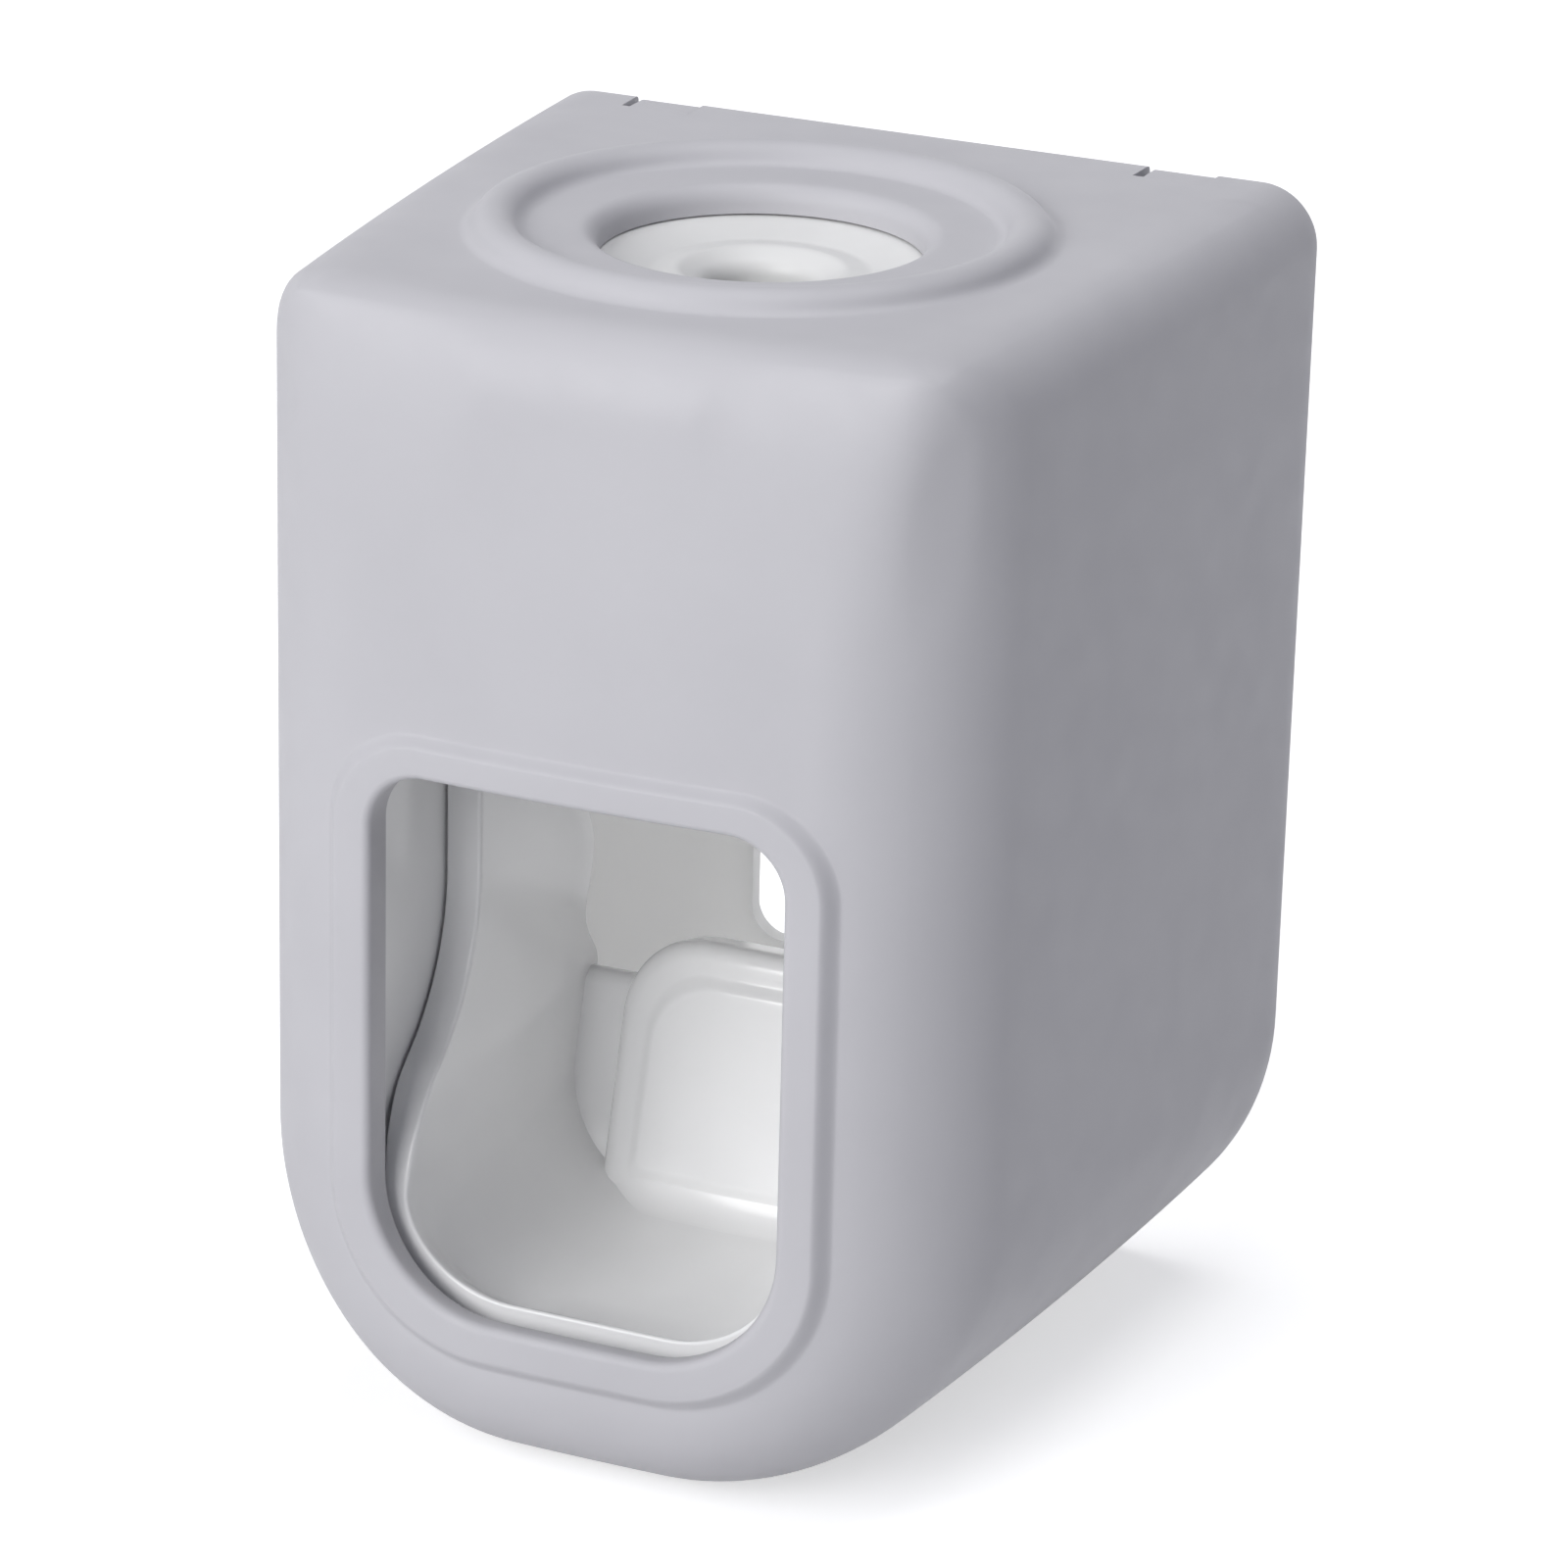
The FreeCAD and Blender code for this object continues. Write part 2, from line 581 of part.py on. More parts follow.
def housing_round(edge):
    """The window's front edge and the mouth's upper edge are rounded."""
    middle = edge.CenterOfMass
    if on_border_face(edge) and abs(middle.x) < value("dim.window_width / 2 + dim.fit_gap"):
        inside = value("dim.window_bottom - dim.fit_gap") < middle.z < value("dim.window_top + dim.fit_gap")
        return value("dim.border_round") if inside else None
    radii = [math.hypot(point.x, point.y - value(pump_y)) for point in edge.discretize(5)]
    if max(abs(radius - value("dim.mouth_radius")) for radius in radii) < 1e-3:
        return value("dim.mouth_lip") if middle.z > value(f"{cavity_top} + dim.wall / 2") else None
    return None


finish(rounded("housing", housing_open, housing_round), "front_housing")

# Back cover: a plate in the rear opening, with four lugs and the cut-out it hangs by
cover = doc.addObject("PartDesign::Body", "cover")
cover_face = "(dim.case_depth - dim.cover_thick)"
padded(cover, "cover_plate", "XZ", cover_face, "dim.cover_thick",
       case_section(cover_face, "(dim.wall + dim.cover_gap)"))
lug_half = "(dim.notch_width / 2 - dim.lug_gap)"
lug_loops = [rectangle(f"{centre} + dim.lug_shift - {lug_half}", f"{centre} + dim.lug_shift + {lug_half}",
                       f"{cavity_top} - dim.lug_root", "dim.case_height - dim.lug_sink")
             for centre in top_notches]
lug_loops += [rectangle(f"{centre} - {lug_half}", f"{centre} + {lug_half}", "dim.lug_sink",
                        "dim.wall + dim.lug_root") for centre in low_notches]
lug_depth = "(dim.notch_depth - dim.lug_gap)"
padded(cover, "cover_lugs", "XZ", f"dim.case_depth - {lug_depth}", lug_depth, *lug_loops)
cutout_half = "(dim.cutout_width / 2)"
pocketed(cover, "cover_cutout", "XZ", f"{cover_face} - dim.overrun", "dim.cover_thick + 2 * dim.overrun",
         rounded_box(f"-{cutout_half}", cutout_half, "dim.cutout_bottom", "dim.cutout_top",
                     "dim.cutout_corner", "dim.cutout_corner"))
finish(cover, "back_cover")

# Adhesive pad on the cover, above the cut-out; the middle of its wall face is the origin
pad = doc.addObject("PartDesign::Body", "pad")
pad_half = "(dim.pad_width / 2)"
padded(pad, "pad_sheet", "XZ", "dim.case_depth", "dim.pad_thick",
       rounded_box(f"-{pad_half}", pad_half, "(dim.pad_centre - dim.pad_height / 2)",
                   "(dim.pad_centre + dim.pad_height / 2)", "dim.pad_corner", "dim.pad_corner"))
finish(pad, "adhesive_pad")

# Inner frame: two side plates with the lever's pins and the screw ears, and the deck that carries the
# pump, whose tongues lie in notches of the plates' upper edges
frame_back = "(dim.case_depth - dim.frame_rear)"
frame_waist = f"({pump_y} + dim.frame_waist)"
frame_outline = [
    ("dim.frame_front", "dim.frame_chin"),
    ("dim.chin_back", "dim.frame_bottom"),
    (f"{pump_y} - dim.frame_toe", "dim.frame_bottom"),
    (frame_waist, "dim.frame_knee"),
    (frame_waist, f"{deck_top} - dim.frame_shoulder"),
    (frame_back, f"{deck_top} - dim.frame_spread"),
    (frame_back, deck_top),
    ("dim.deck_front", deck_top),
    ("dim.frame_front", f"{deck_top} - dim.frame_brow"),
]
tongue_middles = [f"({pump_y} - dim.tongue_reach)", f"({pump_y} + dim.tongue_reach)"]
tongue_half = "(dim.tongue_width / 2)"
deck_parts = [block("deck_plate", f"-{frame_inner}", frame_inner, "dim.deck_front", frame_back, deck_bottom,
                    deck_top)]
for number, middle in enumerate(tongue_middles):
    deck_parts.append(block(f"tongues_{number}", f"-{frame_outer}", frame_outer, f"{middle} - {tongue_half}",
                            f"{middle} + {tongue_half}", deck_bottom, deck_top))
deck_hole = rod("deck_hole", "Z", f"{barrel_radius} + dim.deck_gap", f"{deck_bottom} - dim.overrun",
                "dim.deck_thick + 2 * dim.overrun", x="0", y=pump_y)
finish(cut("deck", joined("deck_whole", "Part::MultiFuse", deck_parts), deck_hole), "pump_deck")

ear_reach = f"({post_x} + dim.post_radius)"
for sign, side in (("-", "left"), ("", "right")):
    inner = frame_inner if sign == "" else f"-{frame_outer}"
    outer = frame_outer if sign == "" else f"-{frame_inner}"
    ear_edges = (f"-{ear_reach}", f"-{frame_inner}") if sign else (frame_inner, ear_reach)
    plate_parts = [prism(f"plate_{side}", "YZ", inner, outer, frame_outline)]
    plate_holes = [rod(f"plate_hole_{side}", "X", "dim.pivot_radius + dim.fit_gap", f"{inner} - dim.overrun",
                       "dim.frame_wall + 2 * dim.overrun", y=pivot_y, z=trunnion_z)]
    for number, middle in enumerate(tongue_middles):
        plate_holes.append(block(f"tongue_notch_{side}_{number}", f"{inner} - dim.overrun",
                                 f"{outer} + dim.overrun", f"{middle} - {tongue_half} - dim.fit_gap",
                                 f"{middle} + {tongue_half} + dim.fit_gap", f"{deck_bottom} - dim.fit_gap",
                                 f"{deck_top} + dim.overrun"))
    for number, level in enumerate(post_levels):
        plate_parts.append(block(f"ear_{side}_{number}", *ear_edges, "dim.post_end",
                                 "dim.post_end + dim.ear_thick", f"{level} - dim.ear_half",
                                 f"{level} + dim.ear_half"))
        plate_holes.append(rod(f"ear_hole_{side}_{number}", "Y", "dim.screw_radius + dim.screw_gap",
                               "dim.post_end - dim.overrun", "dim.ear_thick + 2 * dim.overrun",
                               x=f"{sign}{post_x}", z=level))
    finish(cut(f"frame_{side}", joined(f"frame_whole_{side}", "Part::MultiFuse", plate_parts),
               joined(f"frame_holes_{side}", "Part::MultiFuse", plate_holes)), f"frame_side_{side}")

# Frame screws: four alike, from behind through the ears into the posts
screws = []
for number, (across, up) in enumerate(post_places):
    head_y = "(dim.post_end + dim.ear_thick)"
    shank = rod(f"shank_{number}", "Y", "dim.screw_radius", "dim.post_end + dim.ear_thick - dim.screw_length",
                "dim.screw_length", x=across, z=up)
    head = rod(f"head_{number}", "Y", "dim.screw_head", head_y, "dim.screw_head_height", x=across, z=up)
    screws.append(joined(f"screw_{number}", "Part::MultiFuse", [shank, head]))
finish(joined("screws", "Part::Compound", screws), "frame_screws")

# Pump, from the top down: seal, barrel with its inlet plate, flap valve and pin, cap
collar_radius = "(dim.seal_bore + dim.seal_collar)"
spigot_radius = "(dim.barrel_bore - dim.spigot_gap)"
turned("tube_seal", [
    ("dim.seal_bore", f"{barrel_top} - dim.spigot_depth"),
    (spigot_radius, f"{barrel_top} - dim.spigot_depth"),
    (spigot_radius, barrel_top),
    ("dim.seal_radius", barrel_top),
    ("dim.seal_radius", seal_top),
    ("dim.mouth_radius", seal_top),
    (f"{collar_radius} + dim.seal_collar", f"{seal_top} - dim.seal_dish"),
    (collar_radius, f"{seal_top} - dim.seal_dish"),
    (collar_radius, f"{seal_top} - dim.seal_dish / 3"),
    ("dim.seal_bore", f"{seal_top} - dim.seal_dish / 3"),
])

barrel = turned("pump_barrel", [
    ("0", seat_bottom),
    ("dim.barrel_bore", seat_bottom),
    ("dim.barrel_bore", barrel_bottom),
    (barrel_radius, barrel_bottom),
    (barrel_radius, deck_top),
    ("dim.seal_radius", deck_top),
    ("dim.seal_radius", barrel_top),
    ("dim.barrel_bore", barrel_top),
    ("dim.barrel_bore", seat_top),
    ("0", seat_top),
])
inlet = [("circle", f"dim.inlet_circle * {across}", f"dim.inlet_circle * {up}", "dim.inlet_radius")
         for across, up in (("1", "0"), ("0", "1"), ("(-1)", "0"), ("0", "(-1)"))]
pocketed(barrel, "inlet_holes", "XY", f"{seat_bottom} - dim.fit_gap", "dim.seat_thick + 2 * dim.fit_gap",
         *inlet, ("circle", "0", "0", "dim.pin_radius + dim.fit_gap"))

flap_bottom = f"({seat_bottom} - dim.flap_thick)"
flap_hole = "(dim.pin_radius + dim.fit_gap)"
turned("inlet_valve", rectangle(flap_hole, "dim.flap_radius", flap_bottom, seat_bottom))
turned("valve_pin", [
    ("0", f"{flap_bottom} - dim.pin_head_height"),
    ("dim.pin_head", f"{flap_bottom} - dim.pin_head_height"),
    ("dim.pin_head", flap_bottom),
    ("dim.pin_radius", flap_bottom),
    ("dim.pin_radius", seat_top),
    ("dim.pin_head", seat_top),
    ("dim.pin_radius", f"{seat_top} + dim.pin_head_height"),
    ("0", f"{seat_top} + dim.pin_head_height"),
])

skirt_inner = f"({barrel_radius} + dim.fit_gap)"
skirt_outer = f"({skirt_inner} + dim.cap_wall)"
turned("barrel_cap", [
    ("dim.stem_radius + dim.fit_gap", cap_bottom),
    (skirt_outer, cap_bottom),
    (skirt_outer, f"{barrel_bottom} + dim.cap_skirt"),
    (skirt_inner, f"{barrel_bottom} + dim.cap_skirt"),
    (skirt_inner, barrel_bottom),
    ("dim.stem_radius + dim.fit_gap", barrel_bottom),
])

# Sliding pieces of the pump: piston, its ring, the lift collar, nozzle, slit valve and ring nut
piston_radius = "(dim.barrel_bore - dim.piston_gap)"
groove_radius = f"({piston_radius} - dim.ring_depth)"
ring_low = f"({head_bottom} + (dim.piston_head - dim.ring_height) / 2)"
ring_high = f"({ring_low} + dim.ring_height)"
turned("piston", [
    ("dim.outlet_bore", stem_bottom),
    ("dim.stem_low", stem_bottom),
    ("dim.stem_low", collar_top),
    ("dim.stem_radius", collar_top),
    ("dim.stem_radius", head_bottom),
    (piston_radius, head_bottom),
    (piston_radius, ring_low),
    (groove_radius, ring_low),
    (groove_radius, ring_high),
    (piston_radius, ring_high),
    (piston_radius, head_top),
    ("dim.outlet_bore", head_top),
])
turned("piston_seal", rectangle(f"{groove_radius} + dim.fit_gap", "dim.barrel_bore - dim.fit_gap",
                                f"{ring_low} + dim.fit_gap", f"{ring_high} - dim.fit_gap"))

collar = turned("lift_collar", [
    ("0", hub_bottom),
    ("dim.hub_radius", hub_bottom),
    ("dim.hub_radius", collar_bottom),
    ("dim.collar_radius", collar_bottom),
    ("dim.collar_radius", collar_top),
    ("0", collar_top),
])
padded(collar, "trunnions", "YZ", "0", f"2 * ({frame_inner} - dim.trunnion_gap)",
       ("circle", "0", trunnion_z, "dim.trunnion_radius"), both=True)
pocketed(collar, "collar_bore", "XY", f"{hub_bottom} - dim.fit_gap",
         "dim.hub_drop + dim.collar_thick + 2 * dim.fit_gap",
         ("circle", "0", "0", "dim.stem_low + dim.fit_gap"))

turned("outlet_nozzle", [
    ("dim.outlet_bore", nozzle_bottom),
    ("dim.nozzle_radius", nozzle_bottom),
    ("dim.nozzle_radius", hub_bottom),
    ("dim.stem_low + dim.fit_gap", hub_bottom),
    ("dim.stem_low + dim.fit_gap", stem_bottom),
    ("dim.outlet_bore", stem_bottom),
])
slit_bottom = f"({nozzle_bottom} - dim.slit_thick)"
turned("nozzle_valve", [
    ("0", f"{slit_bottom} - dim.slit_dome", "dim.slit_dome", 1),
    ("dim.slit_dome", slit_bottom),
    ("dim.slit_radius", slit_bottom),
    ("dim.slit_radius", nozzle_bottom),
    ("0", nozzle_bottom),
])
nut_inner = "(dim.nozzle_radius + dim.fit_gap)"
nut_outer = f"({nut_inner} + dim.nut_wall)"
nut_hole = "(dim.slit_dome + dim.slot_gap)"
turned("nozzle_ring", [
    (nut_hole, f"{slit_bottom} - dim.nut_lip"),
    (nut_outer, f"{slit_bottom} - dim.nut_lip"),
    (nut_outer, f"{nozzle_bottom} + dim.nut_grip"),
    (nut_inner, f"{nozzle_bottom} + dim.nut_grip"),
    (nut_inner, slit_bottom),
    (nut_hole, slit_bottom),
])

# Return spring round the barrel, between the collar and the deck
spring_low = f"({collar_top} + dim.spring_wire + dim.seat_gap)"
spring_rise = f"({deck_bottom} - {collar_top} - 2 * (dim.spring_wire + dim.seat_gap))"
coil = doc.addObject("Part::Helix", "coil")
bind(coil, Radius="dim.spring_radius", Height=spring_rise, Pitch=f"{spring_rise} / dim.spring_turns",
     Placement__Base__z=spring_low)
wire_section = free_sketch("wire_section", "XZ", "0",
                           ("circle", "dim.spring_radius", spring_low, "dim.spring_wire"))
spring = doc.addObject("Part::Sweep", "spring")
spring.Sections = [wire_section]
spring.Spine = (coil, ["Edge1"])
spring.Solid = True
spring.Frenet = True
finish(spring, "return_spring", on_pump=True)

# Push lever: a trough with two cheeks, trimmed to the cheeks' side outline, with web and paddle
cheek_front = f"({pivot_y} - dim.lever_boss)"
sweep_run = f"({cheek_front} - dim.lever_front)"
sweep_rise = "(dim.sweep_high - dim.sweep_low)"
sweep_radius = f"(({sweep_run} ^ 2 + {sweep_rise} ^ 2) / (4 * {sweep_run}))"
floor_bottom = "(dim.lever_floor - dim.floor_thick)"
lean = "tan(dim.paddle_lean * 1 deg)"
lean_thick = "cos(dim.paddle_lean * 1 deg)"


def paddle_face(height, behind):
    """Depth of the leaning paddle's face at a height, and so far behind it."""
    return f"(dim.paddle_front + ({height} - dim.paddle_foot) * {lean} + ({behind}) / {lean_thick})"


web_back = "dim.web_sink + dim.web_thick"
cheek_outline = [
    ("dim.lever_front", floor_bottom),
    (paddle_face(floor_bottom, web_back), floor_bottom),
    (paddle_face("dim.heel_bottom", web_back), "dim.heel_bottom"),
    ("dim.heel_back", "dim.heel_bottom", "dim.heel_round", 1),
    ("dim.heel_back", "dim.heel_top"),
    (f"{pump_y} + dim.lever_boss", trunnion_z, "dim.lever_boss", 1),
    (pump_y, f"{trunnion_z} + dim.lever_boss"),
    (pivot_y, f"{trunnion_z} + dim.lever_boss", "dim.lever_boss", 1),
    (cheek_front, trunnion_z),
    (cheek_front, "dim.sweep_high", sweep_radius, -1),
    (f"({cheek_front} + dim.lever_front) / 2", "(dim.sweep_high + dim.sweep_low) / 2", sweep_radius, 1),
    ("dim.lever_front", "dim.sweep_low"),
]
lever_top = f"({trunnion_z} + dim.lever_boss + dim.overrun)"
trough_outline = [
    (f"-{cheek_outer} + dim.floor_corner + dim.cheek_wall", floor_bottom),
    (f"{cheek_outer} - dim.floor_corner - dim.cheek_wall", floor_bottom,
     "(dim.floor_corner + dim.cheek_wall)", 1),
    (cheek_outer, f"{floor_bottom} + dim.floor_corner + dim.cheek_wall"),
    (cheek_outer, lever_top),
    (cheek_inner, lever_top),
    (cheek_inner, "dim.lever_floor + dim.floor_corner", "dim.floor_corner", -1),
    (f"{cheek_inner} - dim.floor_corner", "dim.lever_floor"),
    (f"-{cheek_inner} + dim.floor_corner", "dim.lever_floor", "dim.floor_corner", -1),
    (f"-{cheek_inner}", "dim.lever_floor + dim.floor_corner"),
    (f"-{cheek_inner}", lever_top),
    (f"-{cheek_outer}", lever_top),
    (f"-{cheek_outer}", f"{floor_bottom} + dim.floor_corner + dim.cheek_wall",
     "(dim.floor_corner + dim.cheek_wall)", 1),
]
trough = joined("trough", "Part::MultiCommon", [
    prism("cheek_sides", "YZ", f"-{cheek_outer} - dim.overrun", f"{cheek_outer} + dim.overrun",
          cheek_outline),
    prism("trough_bar", "XZ", "0", "dim.case_depth", trough_outline),
])
web_low = f"({floor_bottom} + dim.floor_thick / 2)"
web_outline = [
    (paddle_face(web_low, "dim.web_sink"), web_low),
    (paddle_face(web_low, web_back), web_low),
    (paddle_face("dim.heel_bottom", web_back), "dim.heel_bottom"),
    (paddle_face("dim.heel_bottom", "dim.web_sink"), "dim.heel_bottom"),
]
trough_fill = [
    (f"-{cheek_outer} + dim.floor_corner + dim.cheek_wall", floor_bottom),
    (f"{cheek_outer} - dim.floor_corner - dim.cheek_wall", floor_bottom,
     "(dim.floor_corner + dim.cheek_wall)", 1),
    (cheek_outer, f"{floor_bottom} + dim.floor_corner + dim.cheek_wall"),
    (cheek_outer, lever_top),
    (f"-{cheek_outer}", lever_top),
    (f"-{cheek_outer}", f"{floor_bottom} + dim.floor_corner + dim.cheek_wall",
     "(dim.floor_corner + dim.cheek_wall)", 1),
]
web = joined("web", "Part::MultiCommon", [
    prism("web_slab", "YZ", f"-{cheek_outer}", cheek_outer, web_outline),
    prism("web_bounds", "XZ", "0", "dim.case_depth", trough_fill),
])


def leaning_plate(name, inset, proud, thick):
    """A plate on the paddle's slope with rounded upper corners, moved inwards by the inset."""
    half = f"(dim.paddle_half - {inset})"
    corner = f"(dim.paddle_corner - {inset} / 2)"
    foot = f"(dim.lever_floor - dim.paddle_foot) / {lean_thick} - dim.floor_thick / 2 + {inset}"
    outline = [
        (f"-{half}", foot),
        (half, foot),
        (half, f"dim.paddle_height - {inset} - {corner}", corner, 1),
        (f"{half} - {corner}", f"dim.paddle_height - {inset}"),
        (f"-{half} + {corner}", f"dim.paddle_height - {inset}", corner, 1),
        (f"-{half}", f"dim.paddle_height - {inset} - {corner}"),
    ]
    sketch = doc.addObject("Sketcher::SketchObject", name + "_outline")
    fill(sketch, [outline])
    sketch.Placement = Placement(Vector(), Rotation(Vector(1, 0, 0), 90 - value("dim.paddle_lean")))
    shift = f"(-({proud}))"
    bind(sketch, Placement__Base__y=f"dim.paddle_front + {shift} * {lean_thick}",
         Placement__Base__z=f"dim.paddle_foot - {shift} * sin(dim.paddle_lean * 1 deg)")
    plate = doc.addObject("Part::Extrusion", name)
    plate.Base = sketch
    plate.DirMode = "Normal"
    plate.Solid = True
    plate.Reversed = True
    bind(plate, LengthFwd=thick)
    return plate


paddle = leaning_plate("paddle", "0", "0", "dim.paddle_thick")
panel = leaning_plate("panel", "dim.panel_inset", "dim.panel_step", "dim.paddle_thick")
lever_whole = joined("lever_whole", "Part::MultiFuse", [trough, web, paddle, panel])
slot_half = "(dim.trunnion_radius + dim.slot_gap)"
slot_outline = [
    (f"{pump_y} - dim.slot_play", f"{trunnion_z} - {slot_half}"),
    (f"{pump_y} + dim.slot_play", f"{trunnion_z} - {slot_half}", slot_half, 1),
    (f"{pump_y} + dim.slot_play + {slot_half}", trunnion_z, slot_half, 1),
    (f"{pump_y} + dim.slot_play", f"{trunnion_z} + {slot_half}"),
    (f"{pump_y} - dim.slot_play", f"{trunnion_z} + {slot_half}", slot_half, 1),
    (f"{pump_y} - dim.slot_play - {slot_half}", trunnion_z, slot_half, 1),
]
lever_holes = joined("lever_holes", "Part::MultiFuse", [
    prism("trunnion_slots", "YZ", f"-{cheek_outer} - dim.overrun", f"{cheek_outer} + dim.overrun",
          slot_outline),
    rod("pivot_bores", "X", "dim.pivot_radius + dim.fit_gap", f"-{cheek_outer} - dim.overrun",
        f"2 * ({cheek_outer} + dim.overrun)", y=pivot_y, z=trunnion_z),
])
finish(cut("lever", lever_whole, lever_holes), "push_lever")

# Pivot pins: headed pins through the frame's walls into the lever's cheeks
pin_length = f"({frame_outer} - {cheek_inner} - dim.pivot_inset)"
for side, sign in (("left", "-"), ("right", "")):
    head_x = frame_outer if sign == "" else f"-{frame_outer} - dim.pivot_head_thick"
    shank_x = f"{frame_outer} - {pin_length}" if sign == "" else f"-{frame_outer}"
    pin = joined(f"pin_{side}", "Part::MultiFuse", [
        rod(f"pin_shank_{side}", "X", "dim.pivot_radius", shank_x, pin_length, y=pivot_y, z=trunnion_z),
        rod(f"pin_head_{side}", "X", "dim.pivot_head", head_x, "dim.pivot_head_thick", y=pivot_y,
            z=trunnion_z),
    ])
    finish(pin, f"pivot_pin_{side}")

doc.recompute()
failed = [item.Name for item in doc.Objects if {"Invalid", "Error"} & set(item.State)]
failed += [item.Label for item in pieces if item.Shape.isNull() or not item.Shape.isValid()]
if failed:
    raise ValueError("not built: " + ", ".join(failed))

os.makedirs("parts", exist_ok=True)
for item in pieces:
    item.Shape.exportStep(os.path.join("parts", item.Label + ".step"))
    bounds = item.Shape.BoundBox
    print(f"{item.Label:16s} solids {len(item.Shape.Solids)}  volume {item.Shape.Volume:9.1f}  "
          f"x {bounds.XMin:7.2f} {bounds.XMax:7.2f}  y {bounds.YMin:7.2f} {bounds.YMax:7.2f}  "
          f"z {bounds.ZMin:7.2f} {bounds.ZMax:7.2f}")
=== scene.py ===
import json
import math

import bmesh
import bpy
import numpy as np
from mathutils import Matrix, Vector


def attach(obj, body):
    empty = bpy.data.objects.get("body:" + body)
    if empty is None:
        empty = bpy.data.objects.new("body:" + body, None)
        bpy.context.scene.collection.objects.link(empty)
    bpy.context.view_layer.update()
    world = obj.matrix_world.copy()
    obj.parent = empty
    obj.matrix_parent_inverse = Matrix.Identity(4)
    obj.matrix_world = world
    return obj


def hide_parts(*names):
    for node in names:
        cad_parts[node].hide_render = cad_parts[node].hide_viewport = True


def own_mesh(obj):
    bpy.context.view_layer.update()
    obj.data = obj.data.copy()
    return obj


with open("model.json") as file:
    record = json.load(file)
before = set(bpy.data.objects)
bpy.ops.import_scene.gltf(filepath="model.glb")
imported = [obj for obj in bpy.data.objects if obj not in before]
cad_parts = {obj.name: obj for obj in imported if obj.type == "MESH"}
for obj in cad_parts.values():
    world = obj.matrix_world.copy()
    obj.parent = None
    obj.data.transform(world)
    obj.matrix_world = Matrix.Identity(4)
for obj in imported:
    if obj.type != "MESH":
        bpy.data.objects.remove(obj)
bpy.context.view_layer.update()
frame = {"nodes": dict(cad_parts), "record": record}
print("frame loaded,", len(frame["nodes"]), "nodes")

scene = bpy.context.scene
scene.view_settings.view_transform = "Standard"

# Pieces are worked out in case millimetres: X right, Y back from the front, Z up from the underside
caseFrame = {"wallFace": 69.0, "padMiddle": 72.0, "millimetre": 0.001}


def toRow(points):
    # case millimetres to metres from the middle of the pad's wall face
    origin = (0.0, caseFrame["wallFace"], caseFrame["padMiddle"])
    return (np.asarray(points, float) - origin) * caseFrame["millimetre"]


# Materials

noiseSpan = (0.3, 0.7)  # where most of a noise lies


def nodeTree(name):
    made = bpy.data.materials.new(name)
    made.use_nodes = True
    tree = made.node_tree
    return made, tree, tree.nodes["Principled BSDF"]


def noiseOf(tree, coords, scale, detail=2.0, rough=0.5):
    noise = tree.nodes.new("ShaderNodeTexNoise")
    noise.inputs["Scale"].default_value = scale  # per metre, Object coordinates
    noise.inputs["Detail"].default_value = detail
    noise.inputs["Roughness"].default_value = rough
    tree.links.new(coords, noise.inputs["Vector"])
    return noise.outputs["Fac"]


def rampTo(tree, value, low, high, socket, span=noiseSpan):
    # a value's span, spread over the two ends
    spread = tree.nodes.new("ShaderNodeMapRange")
    spread.inputs["From Min"].default_value = span[0]
    spread.inputs["From Max"].default_value = span[1]
    spread.inputs["To Min"].default_value = low
    spread.inputs["To Max"].default_value = high
    tree.links.new(value, spread.inputs["Value"])
    tree.links.new(spread.outputs["Result"], socket)


def tint(tree, value, dark, pale, socket):
    ramp = tree.nodes.new("ShaderNodeValToRGB")
    for stop, place, colour in zip(ramp.color_ramp.elements, noiseSpan, (dark, pale)):
        stop.position, stop.color = place, (*colour, 1.0)
    tree.links.new(value, ramp.inputs["Fac"])
    tree.links.new(ramp.outputs["Color"], socket)


def grain(tree, shader, height, strength, depth):
    bump = tree.nodes.new("ShaderNodeBump")
    bump.inputs["Strength"].default_value = strength
    bump.inputs["Distance"].default_value = depth  # metres
    tree.links.new(height, bump.inputs["Height"])
    tree.links.new(bump.outputs["Normal"], shader.inputs["Normal"])


caseLook = {"dark": (0.515, 0.510, 0.534), "pale": (0.540, 0.535, 0.559), "tintScale": 45.0, "glossScale": 260.0,
            "rough": (0.52, 0.62), "grainScale": 3600.0, "grain": 0.12, "grainDepth": 0.00006, "ior": 1.47}
whiteLook = {"dark": (0.885, 0.885, 0.882), "pale": (0.915, 0.915, 0.912), "tintScale": 60.0, "glossScale": 240.0,
             "rough": (0.14, 0.21), "grainScale": 900.0, "grain": 0.05, "grainDepth": 0.00005, "ior": 1.49}
milkyLook = {"dark": (0.73, 0.73, 0.72), "pale": (0.77, 0.77, 0.76), "tintScale": 120.0, "glossScale": 500.0,
             "rough": (0.34, 0.46), "grainScale": 2600.0, "grain": 0.10, "grainDepth": 0.00005, "ior": 1.42,
             "glow": 0.15, "glowRadius": (1.0, 0.95, 0.9), "glowScale": 0.0015}
thinLook = dict(whiteLook, passes=0.45)
steelLook = {"dark": (0.50, 0.50, 0.51), "pale": (0.64, 0.64, 0.65), "rough": (0.22, 0.38),
             "drawn": (500.0, 60.0, 60.0), "grain": 0.1, "grainDepth": 0.00002}
foamLook = {"dark": (0.74, 0.74, 0.73), "pale": (0.82, 0.82, 0.81), "tintScale": 150.0, "glossScale": 700.0,
            "rough": (0.7, 0.85), "cells": 2400.0, "grain": 0.35, "grainDepth": 0.0001}


